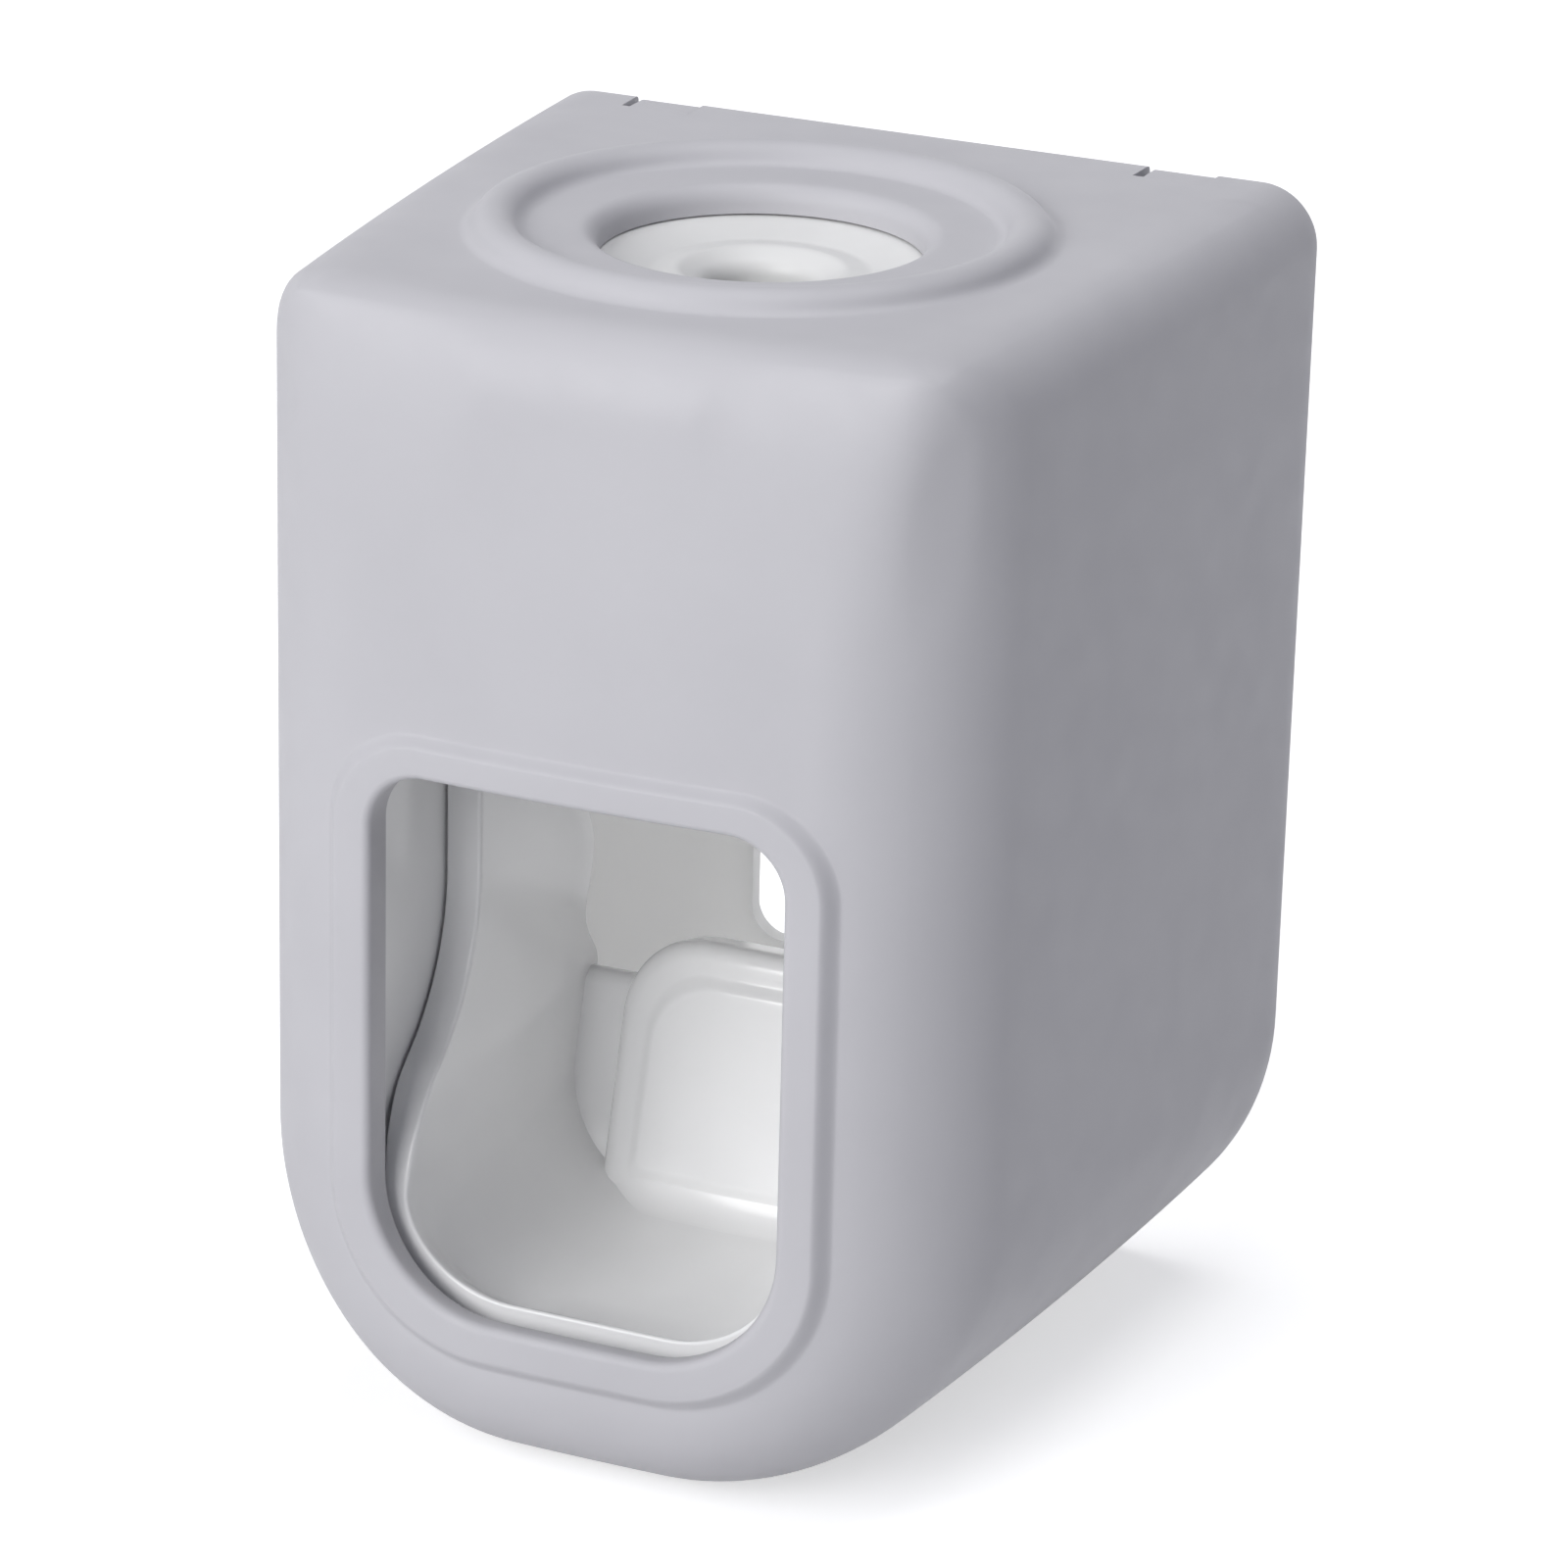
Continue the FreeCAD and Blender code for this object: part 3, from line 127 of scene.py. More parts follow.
def mouldedPlastic(name, look):
    # slow drift of the tint, finer drift of the gloss, and the mould's fine grain
    made, tree, shader = nodeTree(name)
    coords = tree.nodes.new("ShaderNodeTexCoord").outputs["Object"]
    tint(tree, noiseOf(tree, coords, look["tintScale"]), look["dark"], look["pale"], shader.inputs["Base Color"])
    gloss = noiseOf(tree, coords, look["glossScale"], detail=4.0)
    rampTo(tree, gloss, *look["rough"], shader.inputs["Roughness"])
    height = noiseOf(tree, coords, look["grainScale"], detail=3.0, rough=0.6)
    grain(tree, shader, height, look["grain"], look["grainDepth"])
    shader.inputs["IOR"].default_value = look["ior"]
    if "glow" in look:
        shader.inputs["Subsurface Weight"].default_value = look["glow"]
        shader.inputs["Subsurface Radius"].default_value = look["glowRadius"]
        shader.inputs["Subsurface Scale"].default_value = look["glowScale"]
    return made


def thinPlastic(name, look):
    # the white plastic as a thin wall, which lets a part of the light behind it through
    made = mouldedPlastic(name, look)
    tree = made.node_tree
    through = tree.nodes.new("ShaderNodeBsdfTranslucent")
    through.inputs["Color"].default_value = (*look["pale"], 1.0)
    blend = tree.nodes.new("ShaderNodeMixShader")
    blend.inputs["Fac"].default_value = look["passes"]
    tree.links.new(tree.nodes["Principled BSDF"].outputs["BSDF"], blend.inputs[1])
    tree.links.new(through.outputs["BSDF"], blend.inputs[2])
    tree.links.new(blend.outputs["Shader"], tree.nodes["Material Output"].inputs["Surface"])
    return made


def drawnSteel(name, look):
    # bright and dull bands that change fastest along X, the pins' length
    made, tree, shader = nodeTree(name)
    coords = tree.nodes.new("ShaderNodeTexCoord").outputs["Object"]
    stretch = tree.nodes.new("ShaderNodeMapping")
    stretch.inputs["Scale"].default_value = look["drawn"]
    tree.links.new(coords, stretch.inputs["Vector"])
    bands = noiseOf(tree, stretch.outputs["Vector"], 1.0, detail=3.0)
    tint(tree, bands, look["dark"], look["pale"], shader.inputs["Base Color"])
    rampTo(tree, bands, *look["rough"], shader.inputs["Roughness"])
    grain(tree, shader, bands, look["grain"], look["grainDepth"])
    shader.inputs["Metallic"].default_value = 1.0
    return made


def cellFoam(name, look):
    # closed cells as Voronoi pits, with a slow drift of the tint
    made, tree, shader = nodeTree(name)
    coords = tree.nodes.new("ShaderNodeTexCoord").outputs["Object"]
    cells = tree.nodes.new("ShaderNodeTexVoronoi")
    cells.inputs["Scale"].default_value = look["cells"]
    tree.links.new(coords, cells.inputs["Vector"])
    tint(tree, noiseOf(tree, coords, look["tintScale"]), look["dark"], look["pale"], shader.inputs["Base Color"])
    rampTo(tree, noiseOf(tree, coords, look["glossScale"]), *look["rough"], shader.inputs["Roughness"])
    grain(tree, shader, cells.outputs["Distance"], look["grain"], look["grainDepth"])
    return made


casePlastic = mouldedPlastic("lavender_case_plastic", caseLook)
whitePlastic = mouldedPlastic("white_gloss_plastic", whiteLook)
milkySilicone = mouldedPlastic("milky_silicone", milkyLook)
thinWhite = thinPlastic("thin_white_plastic", thinLook)
bareSteel = drawnSteel("drawn_steel", steelLook)
whiteFoam = cellFoam("white_foam", foamLook)
finishes = {"case_plastic": casePlastic, "white_plastic": whitePlastic, "silicone": milkySilicone,
            "steel": bareSteel, "foam": whiteFoam}
slotOf = {part["node"]: part["material_slot"] for part in frame["record"]["subparts"]}
for node, item in frame["nodes"].items():
    for place in item.material_slots:
        place.material = finishes[slotOf[node]]
    if not item.material_slots:
        item.data.materials.append(finishes[slotOf[node]])
print("materials on", len(frame["nodes"]), "CAD nodes")


# Grids, outlines and profiles

sharpAngle, mergeReach = 38.0, 2e-6  # degrees and metres


def smooth(share):
    # soft step from 0 to 1
    return share ** 2 * (3 - 2 * share)


def mix(first, last, share):
    # straight run from the first value to the last
    return first + (last - first) * share


def shares(steps):
    # even shares from 0 to 1
    return np.linspace(0, 1, steps + 1)


def quarter(count):
    # angles of a quarter turn
    return np.radians(np.linspace(0, 90, count))


def placed(*values):
    # arrays and single values side by side, as points
    return np.stack(np.broadcast_arrays(*values), axis=-1)


def gridFaces(rows, columns, closedRows=False, closedColumns=False):
    # quads between neighbours of a rows by columns grid, as an array of the same layout
    r, c = np.meshgrid(np.arange(rows - (not closedRows)), np.arange(columns - (not closedColumns)), indexing="ij")
    down, right = (r + 1) % rows, (c + 1) % columns
    return np.stack([r * columns + c, r * columns + right, down * columns + right, down * columns + c], axis=-1)


def tube(points, closedRows=False, closedColumns=False, capped=False):
    # a grid of points as a patch; caps close the first and last row with one face each
    rows, columns = points.shape[:2]
    faces = gridFaces(rows, columns, closedRows, closedColumns).reshape(-1, 4).tolist()
    if capped:
        faces += [list(range(columns)), list(range((rows - 1) * columns, rows * columns))]
    return points.reshape(-1, 3), faces


def bar(rows):
    # closed rings carried from end to end, with both ends capped
    return tube(np.array(rows), closedColumns=True, capped=True)


def putPiece(name, patches, material, body, sharp=sharpAngle):
    # joins patches, merges their shared borders, points the skin outwards and keeps only true edges sharp
    points = np.concatenate([patch[0] for patch in patches])
    starts = np.cumsum([0] + [len(patch[0]) for patch in patches]).tolist()
    faces = [[start + corner for corner in face] for patch, start in zip(patches, starts) for face in patch[1]]
    mesh = bpy.data.meshes.new(name)
    mesh.from_pydata(toRow(points).tolist(), [], faces)
    skin = bmesh.new()
    skin.from_mesh(mesh)
    bmesh.ops.remove_doubles(skin, verts=skin.verts, dist=mergeReach)
    bmesh.ops.recalc_face_normals(skin, faces=skin.faces)
    skin.to_mesh(mesh)
    skin.free()
    mesh.materials.append(material)
    mesh.shade_smooth()
    mesh.set_sharp_from_angle(angle=math.radians(sharp))
    piece = bpy.data.objects.new(name, mesh)
    scene.collection.objects.link(piece)
    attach(piece, body)
    print(name, len(mesh.polygons), "faces")
    return piece


def outlineColumns(low, lowArc, side, topArc, top):
    # a rounded rectangle from the middle of its lower edge to the right and round: across and up place a point
    # between the corner centres, nx and nz say which way it faces
    low, top = np.asarray(low), np.asarray(top)
    arc = lambda start, count: np.radians(start) + np.arange(count) * (math.pi / 2) / count
    run = np.arange(side) / side
    parts = [(low[:-1], 0, 0, -1), (1, 0, arc(-90, lowArc), None), (1, run, 1, 0), (1, 1, arc(0, topArc), None),
             (top[:-1], 1, 0, 1), (-1, 1, arc(90, topArc), None), (-1, 1 - run, -1, 0),
             (-1, 0, arc(180, lowArc), None), (-low[::-1][:-1], 0, 0, -1)]
    columns = []
    for across, up, nx, nz in parts:
        if nz is None:  # an arc: nx holds its angles
            nx, nz = np.cos(nx), np.sin(nx)
        columns.append(placed(across, up, nx, nz).astype(float))
    return np.concatenate(columns).T


def evenColumns(low, lowArc, side, topArc, top):
    # the same with even steps: half the lower edge, a lower corner, a side, an upper corner, the upper edge
    return outlineColumns(shares(low), lowArc, side, topArc, np.linspace(1, -1, top + 1))


def outlineAt(columns, half, low, high, lowRound, topRound, inset=0.0):
    # the outline's points for given half width, heights and corner radii, moved inwards by the inset
    across, up, nx, nz = columns
    corner = np.where(up < 0.5, lowRound, topRound)
    x = across * (half - corner) + (corner - inset) * nx
    z = (1 - up) * (low + lowRound) + up * (high - topRound) + (corner - inset) * nz
    return x, z


def softCorners(corners, steps):
    # a closed profile of (radius, height, round) whose corners are turned into arcs of the given round
    nearlyStraight = 3.1  # radians
    places = np.array([corner[:2] for corner in corners], float)
    points = []
    for index, (here, corner) in enumerate(zip(places, corners)):
        before, after = places[index - 1] - here, places[(index + 1) % len(places)] - here
        before, after = before / np.linalg.norm(before), after / np.linalg.norm(after)
        opening = math.acos(np.clip(before @ after, -1, 1))
        if corner[2] <= 0 or opening > nearlyStraight:
            points.append(here[None])
            continue
        reach = corner[2] / math.tan(opening / 2)
        middle = here + (before + after) / np.linalg.norm(before + after) * corner[2] / math.sin(opening / 2)
        first, last = here + before * reach - middle, here + after * reach - middle
        share = shares(steps)[:, None]
        swing = math.pi - opening
        turned = np.sin((1 - share) * swing) * first + np.sin(share * swing) * last
        points.append(middle + turned / math.sin(swing))
    return np.concatenate(points)


def turnedSkin(profile, count, x, y):
    # a closed profile of (radius, height) carried round an upright axis
    angle = np.linspace(0, 2 * math.pi, count, endpoint=False)
    radius, height = profile[:, 0][:, None], profile[:, 1][:, None]
    grid = placed(x + radius * np.cos(angle), y + radius * np.sin(angle), height)
    return tube(grid, closedRows=True, closedColumns=True)


# Case shell: rounded sections that draw in towards a bowed front, with window, border, bead and mouth

case = {
    "width": 72.5, "depth": 68.0, "height": 100.0, "wall": 2.4, "bow": 253.0,  # bow: radius of the front
    "sideDraw": (4.97, 1.74), "topDraw": (0.45, 0.15), "lowDraw": (0.87, 0.22),  # at the front, at half the depth
    "topCorner": (5.2, 6.6), "lowCorner": 24.9,  # upper corners at the rear and at the front
    "rounds": (11.5, 6.5, 8.0),  # front edge at the sides, top and underside
    "roundFade": 8.0,  # run over which the corners' turned round gives way to the front's own depth
    "relax": (8.0, 15.0, 90, 4),  # full and last reach round the upper front corners, passes, rows to ease in
    "window": (18.25, 14.3, 61.0, 11.3, 5.0),  # half width, lower and upper edge, lower and upper corners
    "border": (4.0, 3.3, 1.0), "borderStep": (4.45, 3.0),  # width at the sides and on top, height; the step's span
    "windowEdges": (0.8, 0.3, 1.9),  # outer round, inner round, and what the lower side adds to that
    "mouth": (34.0, 13.4, 1.6),  # depth of its middle, bore and lip
    "mouthBlock": (7, 6),  # steps of the front edge's round, and of the corners' arcs, that give way to the mouth
    "bead": (21.95, 1.75, 2.0, 1.2), "beadMargin": 0.15,  # radius, height, crown and foot rounds
    "notchTop": (20.8, 27.2), "notchLow": (3.6, 10.0), "notchRow": 64.2,
    "rimEdge": 0.5, "rimInner": -0.3, "rimAngles": (90, 60, 30, 0),
    "posts": (25.85, 3.2, 30.0, 1.3, 21.0), "postEdges": (0.4, 0.3),  # place, radius, end, bore, the bore's end
    "postLevels": (84.0, 25.0), "postSides": 28,
    "rows": {"side": 25, "turn": 14, "front": 28, "step": 14, "face": 3, "outEdge": 10, "inEdge": 7, "inner": 12},
    "rings": {"top": 6, "bead": 34, "inside": 7, "lip": 9, "under": 5},  # round the mouth
}


def drawnIn(pair, share):
    # quadratic through nothing at the rear rim, the middle value and the front value
    return 2 * (pair[0] - 2 * pair[1]) * share ** 2 + (4 * pair[1] - pair[0]) * share


def caseSection(y, inset):
    # half width, foot, top, and lower and upper corner of the section at a depth
    share = 1 - y / case["depth"]
    return (case["width"] / 2 - drawnIn(case["sideDraw"], share) - inset, drawnIn(case["lowDraw"], share) + inset,
            case["height"] - drawnIn(case["topDraw"], share) - inset, case["lowCorner"] - inset,
            mix(*case["topCorner"], share) - inset)


def bowDepth(x, inset=0.0):
    # how far the bowed front falls back from its middle
    radius = case["bow"] - inset
    return radius - np.sqrt(radius ** 2 - x ** 2)


def edgeRound(nx, nz, inset):
    # radius of the front edge by the way the skin faces
    side, top, low = case["rounds"]
    return side * nx ** 2 + np.where(nz > 0, top, low) * nz ** 2 - inset


def roundDepth(radius, inward):
    # depth of a quarter round at a distance inside the edge
    short = np.clip(radius - inward, 0, radius)
    return radius - np.sqrt(radius ** 2 - short ** 2)


def frontDepth(x, z):
    # depth of the front skin: the bow plus the edge's round; below, the round follows the distance to the outline,
    # and above, the side's and the top's rounds join as the cube root of the sum of their cubes
    side, top = case["rounds"][:2]
    y = bowDepth(x)
    for _ in range(4):  # the section depends on the depth
        half, foot, high, lowRound = caseSection(y, 0.0)[:4]
        qx, qz = np.abs(x) - (half - lowRound), foot + lowRound - z
        both = (qx > 0) & (qz > 0)
        far = np.hypot(qx, qz)
        inward = lowRound - np.where(both, far, np.maximum(qx, qz))
        nx = np.where(both, qx / far, (qx > qz) * 1.0)
        lower = roundDepth(edgeRound(nx, -np.sqrt(1 - nx ** 2), 0.0), inward)
        upper = np.cbrt(roundDepth(side, half - np.abs(x)) ** 3 + roundDepth(top, high - z) ** 3)
        y = bowDepth(x) + np.where(z < (foot + high) / 2, lower, upper)
    return y


def topHeight(x, y, inset):
    # height of the top skin over a place, its corners and the front edge's round included
    half, _, high, _, topRound = caseSection(y, inset)
    aside = np.maximum(np.abs(x) - (half - topRound), 0)
    nx = np.clip(aside / topRound, 0, 1)
    sunk = roundDepth(edgeRound(nx, np.sqrt(1 - nx ** 2), inset), y - inset - bowDepth(x, inset))
    return high - topRound + np.sqrt(np.maximum((topRound - sunk) ** 2 - aside ** 2, 0))


def runOf(stops, steps):
    # places from stop to stop, with the given steps between
    parts = [np.linspace(first, last, count + 1)[:-1] for first, last, count in zip(stops, stops[1:], steps)]
    return np.concatenate(parts + [stops[-1:]])


rearFlat, lowFlat = case["width"] / 2 - case["topCorner"][0], case["width"] / 2 - case["lowCorner"]
topNear, topFar = (edge / rearFlat for edge in case["notchTop"])
lowNear, lowFar = (edge / lowFlat for edge in case["notchLow"])
topSteps, lowSteps = (2, 4, 44, 4, 2), (3, 5, 2)
topRun = runOf([1, topFar, topNear, -topNear, -topFar, -1], topSteps)
lowRun = runOf([0, lowNear, lowFar, 1], lowSteps)
lowArcSteps, sideSteps, topArcSteps = 36, 40, 24
around = outlineColumns(lowRun, lowArcSteps, sideSteps, topArcSteps, topRun)
aroundCount = around.shape[1]
facing = around[2], around[3]

edgeAngles = np.linspace(0, 52, case["rows"]["turn"])  # degrees; from there the front's own depth carries on
sideShares = shares(case["rows"]["side"])[1:-1]
constantRows = (66.0, case["notchRow"], 62.0)
rimRows = len(case["rimAngles"])
edgeStart = rimRows + len(constantRows) + len(sideShares)  # row where the front edge begins to turn


def sideRow(y, inset, sink=0.0):
    # the section's outline at a depth, or one sunk inside it
    x, z = outlineAt(around, *caseSection(y, inset), sink)
    return placed(x, y, z)


def edgeRows(angles, inset):
    # round of the front edge: inset r(1 - cos a) from the side, depth r(1 - sin a) behind the bowed front
    radius = edgeRound(*facing, inset)
    angles = np.radians(angles)[:, None]
    sink, depth = radius * (1 - np.cos(angles)), radius * (1 - np.sin(angles))
    y = inset + depth
    for _ in range(5):  # the section depends on the depth
        x, z = outlineAt(around, *caseSection(y, inset), sink)
        y = inset + bowDepth(x, inset) + depth
    return placed(x, y, z)


def wallRows(inset, edge):
    # rear rim's edge, rows of constant depth near the rim, rows up to the front edge's turn, and the turn itself
    size = abs(edge)
    rows = []
    for angle in np.radians(case["rimAngles"]):
        sink = math.copysign(size * (1 - math.cos(angle)), edge)
        rows.append(sideRow(case["depth"] - size + size * math.sin(angle), inset, sink))
    rows += [sideRow(y, inset) for y in constantRows]
    turning = edgeRows(edgeAngles, inset)
    rows += [sideRow(mix(constantRows[-1], turning[0][:, 1], share), inset) for share in sideShares]
    return rows + list(turning)


def windowLoop(reach):
    # the window's outline, grown by a reach measured at the border's sides
    half, low, high, lowRound, topRound = case["window"]
    grow = reach / case["border"][0]
    side, top = case["border"][0] * grow, case["border"][1] * grow
    return outlineAt(around, half + side, low - side, high + top, lowRound + top, topRound + top)


def relaxed(rows):
    # the skin round the upper front corners, moved half way to the mean of its neighbours in each pass
    grid = np.array(rows)
    half, _, high, _, topRound = caseSection(0.0, 0.0)
    full, last, passes, ease = case["relax"]
    near = np.hypot(np.abs(grid[..., 0]) - (half - topRound), grid[..., 2] - (high - topRound))
    start = edgeStart + case["mouthBlock"][0] + 1  # past the rows that border the mouth's block
    byRow = np.clip((np.arange(len(rows)) - start) / ease, 0, 1)[:, None]
    pull = np.clip((last - near) / (last - full), 0, 1) * byRow
    for _ in range(passes):
        mean = (np.roll(grid, 1, 0) + np.roll(grid, -1, 0) + np.roll(grid, 1, 1) + np.roll(grid, -1, 1)) / 4
        grid += 0.5 * pull[..., None] * (mean - grid)
    return list(grid)


proud = case["border"][2]
stepFoot, stepTop = case["borderStep"]
outEdge, inEdge, lowEdge = case["windowEdges"]
inEdge = inEdge + lowEdge * np.clip(-facing[1], 0, 1)  # wider along the lower side
outerRows = wallRows(0.0, case["rimEdge"])
edgeEnd = outerRows[-1]
footX, footZ = windowLoop(stepFoot)
turnError = edgeEnd[:, 1] - frontDepth(edgeEnd[:, 0], edgeEnd[:, 2])  # where the corner's turned round differs
for share in shares(case["rows"]["front"])[1:]:
    x, z = mix(edgeEnd[:, 0], footX, share), mix(edgeEnd[:, 2], footZ, share)
    away = np.clip(np.hypot(x - edgeEnd[:, 0], z - edgeEnd[:, 2]) / case["roundFade"], 0, 1)
    outerRows.append(placed(x, frontDepth(x, z) + turnError * smooth(1 - away), z))
outerRows = relaxed(outerRows)
for share in shares(case["rows"]["step"])[1:]:  # soft step up to the border's face
    x, z = windowLoop(mix(stepFoot, stepTop, share))
    outerRows.append(placed(x, mix(frontDepth(x, z), bowDepth(x) - proud, smooth(share)), z))
for share in shares(case["rows"]["face"])[1:-1]:
    x, z = windowLoop(mix(stepTop, outEdge, share))
    outerRows.append(placed(x, bowDepth(x) - proud, z))
for angle in quarter(case["rows"]["outEdge"]):  # the window's outer edge
    x, z = windowLoop(outEdge * (1 - math.sin(angle)))
    outerRows.append(placed(x, bowDepth(x) - proud + outEdge * (1 - math.cos(angle)), z))
for angle in quarter(case["rows"]["inEdge"]):  # and its inner edge
    x, z = windowLoop(inEdge * (1 - math.cos(angle)))
    outerRows.append(placed(x, bowDepth(x) + case["wall"] - inEdge * (1 - math.sin(angle)), z))

innerRows = wallRows(case["wall"], case["rimInner"])
innerEnd, windowEnd = innerRows[-1], outerRows[-1]
innerLeft = innerEnd[:, 1] - case["wall"] - bowDepth(innerEnd[:, 0], case["wall"])  # of the edge's round
for share in shares(case["rows"]["inner"])[1:-1]:
    x, z = mix(innerEnd[:, 0], windowEnd[:, 0], share), mix(innerEnd[:, 2], windowEnd[:, 2], share)
    innerRows.append(placed(x, case["wall"] + bowDepth(x, case["wall"]) + innerLeft * (1 - share) ** 2, z))

shellRows = np.array(outerRows + innerRows[::-1])
rowCount = len(shellRows)
kept = np.ones((rowCount, aroundCount), bool)
pointAt = lambda row, column: row % rowCount * aroundCount + column  # rows below nought count the inner skin
notchRow = rimRows + constantRows.index(case["notchRow"])
topStart = len(lowRun) - 1 + lowArcSteps + sideSteps + topArcSteps
topEnd = topStart + len(topRun) - 1
topTo, topPast = topSteps[0], sum(topSteps[:2])  # steps up to a notch and past it
lowTo, lowPast = lowSteps[0], sum(lowSteps[:2])
notchColumns = [(topStart + topTo, topStart + topPast), (topEnd - topPast, topEnd - topTo),
                (lowTo, lowPast), (aroundCount - lowPast, aroundCount - lowTo)]
notchFaces = []
for first, last in notchColumns:  # the cover's lug notches: skin taken out, three walls put in
    kept[:notchRow, first:last] = False
    kept[rowCount - notchRow - 1:, first:last] = False
    notchFaces += [[pointAt(row, column), pointAt(row + 1, column), pointAt(-2 - row, column),
                    pointAt(-1 - row, column)] for column in (first, last) for row in range(notchRow)]
    notchFaces += [[pointAt(notchRow, column), pointAt(notchRow, column + 1), pointAt(-1 - notchRow, column + 1),
                    pointAt(-1 - notchRow, column)] for column in range(first, last)]

# The mouth: a block of the top skin gives way to rings that run from the block's border to the bead and the bore
blockTurn, blockArc = case["mouthBlock"]
blockRows = rimRows + len(constantRows) - 1, edgeStart + blockTurn
blockColumns = topStart - blockArc, topEnd + blockArc
kept[blockRows[0]:blockRows[1], blockColumns[0]:blockColumns[1]] = False
kept[rowCount - 1 - blockRows[1]:rowCount - 1 - blockRows[0], blockColumns[0]:blockColumns[1]] = False


def blockBorder(rows):
    # the block's border points in order, from rows counted from the rim
    firstRow, lastRow = blockRows
    firstColumn, lastColumn = blockColumns
    rows = np.array(rows[:lastRow + 1])
    return np.concatenate([rows[firstRow, firstColumn:lastColumn], rows[firstRow:lastRow, lastColumn],
                           rows[lastRow, lastColumn:firstColumn:-1], rows[lastRow:firstRow:-1, firstColumn]])


mouthY, boreRadius, lip = case["mouth"]
beadRadius, beadHeight, crown, beadFoot = case["bead"]
beadReach = math.sqrt((crown + beadFoot) ** 2 - (beadFoot - beadHeight + crown) ** 2)
beadOuter, beadInner = beadRadius + beadReach, beadRadius - beadReach


def beadLift(radius):
    # a round crown that runs into the top by a hollow foot on each side
    aside = np.abs(radius - beadRadius)
    meet = beadReach * crown / (crown + beadFoot)
    onCrown = beadHeight - crown + np.sqrt(np.maximum(crown ** 2 - aside ** 2, 0))
    onFoot = beadFoot - np.sqrt(np.maximum(beadFoot ** 2 - np.clip(beadReach - aside, 0, beadFoot) ** 2, 0))
    return np.where(aside < meet, onCrown, onFoot)


outerBorder, innerBorder = blockBorder(outerRows), blockBorder(innerRows)
fromMiddle = outerBorder[:, :2] - (0.0, mouthY)
borderReach = np.hypot(*fromMiddle.T)
heading = fromMiddle / borderReach[:, None]


def ringAt(radius, lower=0.0):
    # a ring of the top skin round the mouth, with the bead's lift
    radius = np.broadcast_to(radius, borderReach.shape)
    x, y = (heading * radius[:, None] + (0.0, mouthY)).T
    return placed(x, y, topHeight(x, y, 0.0) + beadLift(radius) - lower)


count = case["rings"]
rings = [outerBorder]
rings += [ringAt(mix(borderReach, beadOuter + case["beadMargin"], share)) for share in shares(count["top"])[1:]]
rings += [ringAt(radius) for radius in np.linspace(beadOuter, beadInner, count["bead"])]
rings += [ringAt(mix(beadInner, boreRadius + lip, share)) for share in shares(count["inside"])[1:-1]]
rings += [ringAt(boreRadius + lip * (1 - math.sin(angle)), lip * (1 - math.cos(angle)))
          for angle in quarter(count["lip"])]
boreTop = rings[-1]
boreFoot = boreTop.copy()
boreFoot[:, 2] = topHeight(boreFoot[:, 0], boreFoot[:, 1], case["wall"])
rings += [mix(boreTop, boreFoot, share) for share in (0.35, 0.7, 1.0)]
for share in shares(count["under"])[1:-1]:
    x, y = mix(boreFoot[:, :2], innerBorder[:, :2], share).T
    rings.append(placed(x, y, topHeight(x, y, case["wall"])))
rings.append(innerBorder)


def screwPost(x, z):
    # a post from inside the front wall to its end, with the screw's hole
    radius, end, bore, boreEnd = case["posts"][1:]
    edge, boreEdge = case["postEdges"]
    angle = np.linspace(0, 2 * math.pi, case["postSides"], endpoint=False)
    ring = lambda size, y: placed(x + size * np.cos(angle), y, z + size * np.sin(angle))
    start = ring(radius, 0.0)
    start[:, 1] = frontDepth(start[:, 0], start[:, 2]) + case["wall"] / 2
    return bar([start, ring(radius, end - edge), ring(radius - edge, end), ring(bore + boreEdge, end),
                ring(bore, end - boreEdge), ring(bore, boreEnd)])


shellFaces = gridFaces(rowCount, aroundCount, True, True)[kept].tolist() + notchFaces
patches = [(shellRows.reshape(-1, 3), shellFaces), tube(np.array(rings), closedColumns=True)]
patches += [screwPost(sign * case["posts"][0], level) for sign in (-1, 1) for level in case["postLevels"]]
caseShell = putPiece("case_shell", patches, casePlastic, "housing")
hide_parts("front_housing")


# Back cover: a plate in the rear opening with a cut-out, and four lugs of the white cover in the case's darker colour,
# which is painted shade of their sunk place

cover = {
    "inset": 2.65, "thick": 2.2, "edge": 0.5, "cutout": (13.6, 24.0, 50.0, 3.0, 3.0), "cutEdge": 0.7,
    "lugs": ((-23.86, 96.7, 99.8), (24.14, 96.7, 99.8), (-6.8, 0.2, 3.3), (6.8, 0.2, 3.3)),  # middle, foot and top
    "lugHalf": 3.0, "lugFront": 64.3, "lugRear": 67.8, "lugEdge": 0.3, "lugCorner": 0.36,
    "edgeRows": 6, "rearRows": 8, "frontRows": 5, "lugColumns": (3, 5, 4, 5, 5), "lugRows": 5,
}


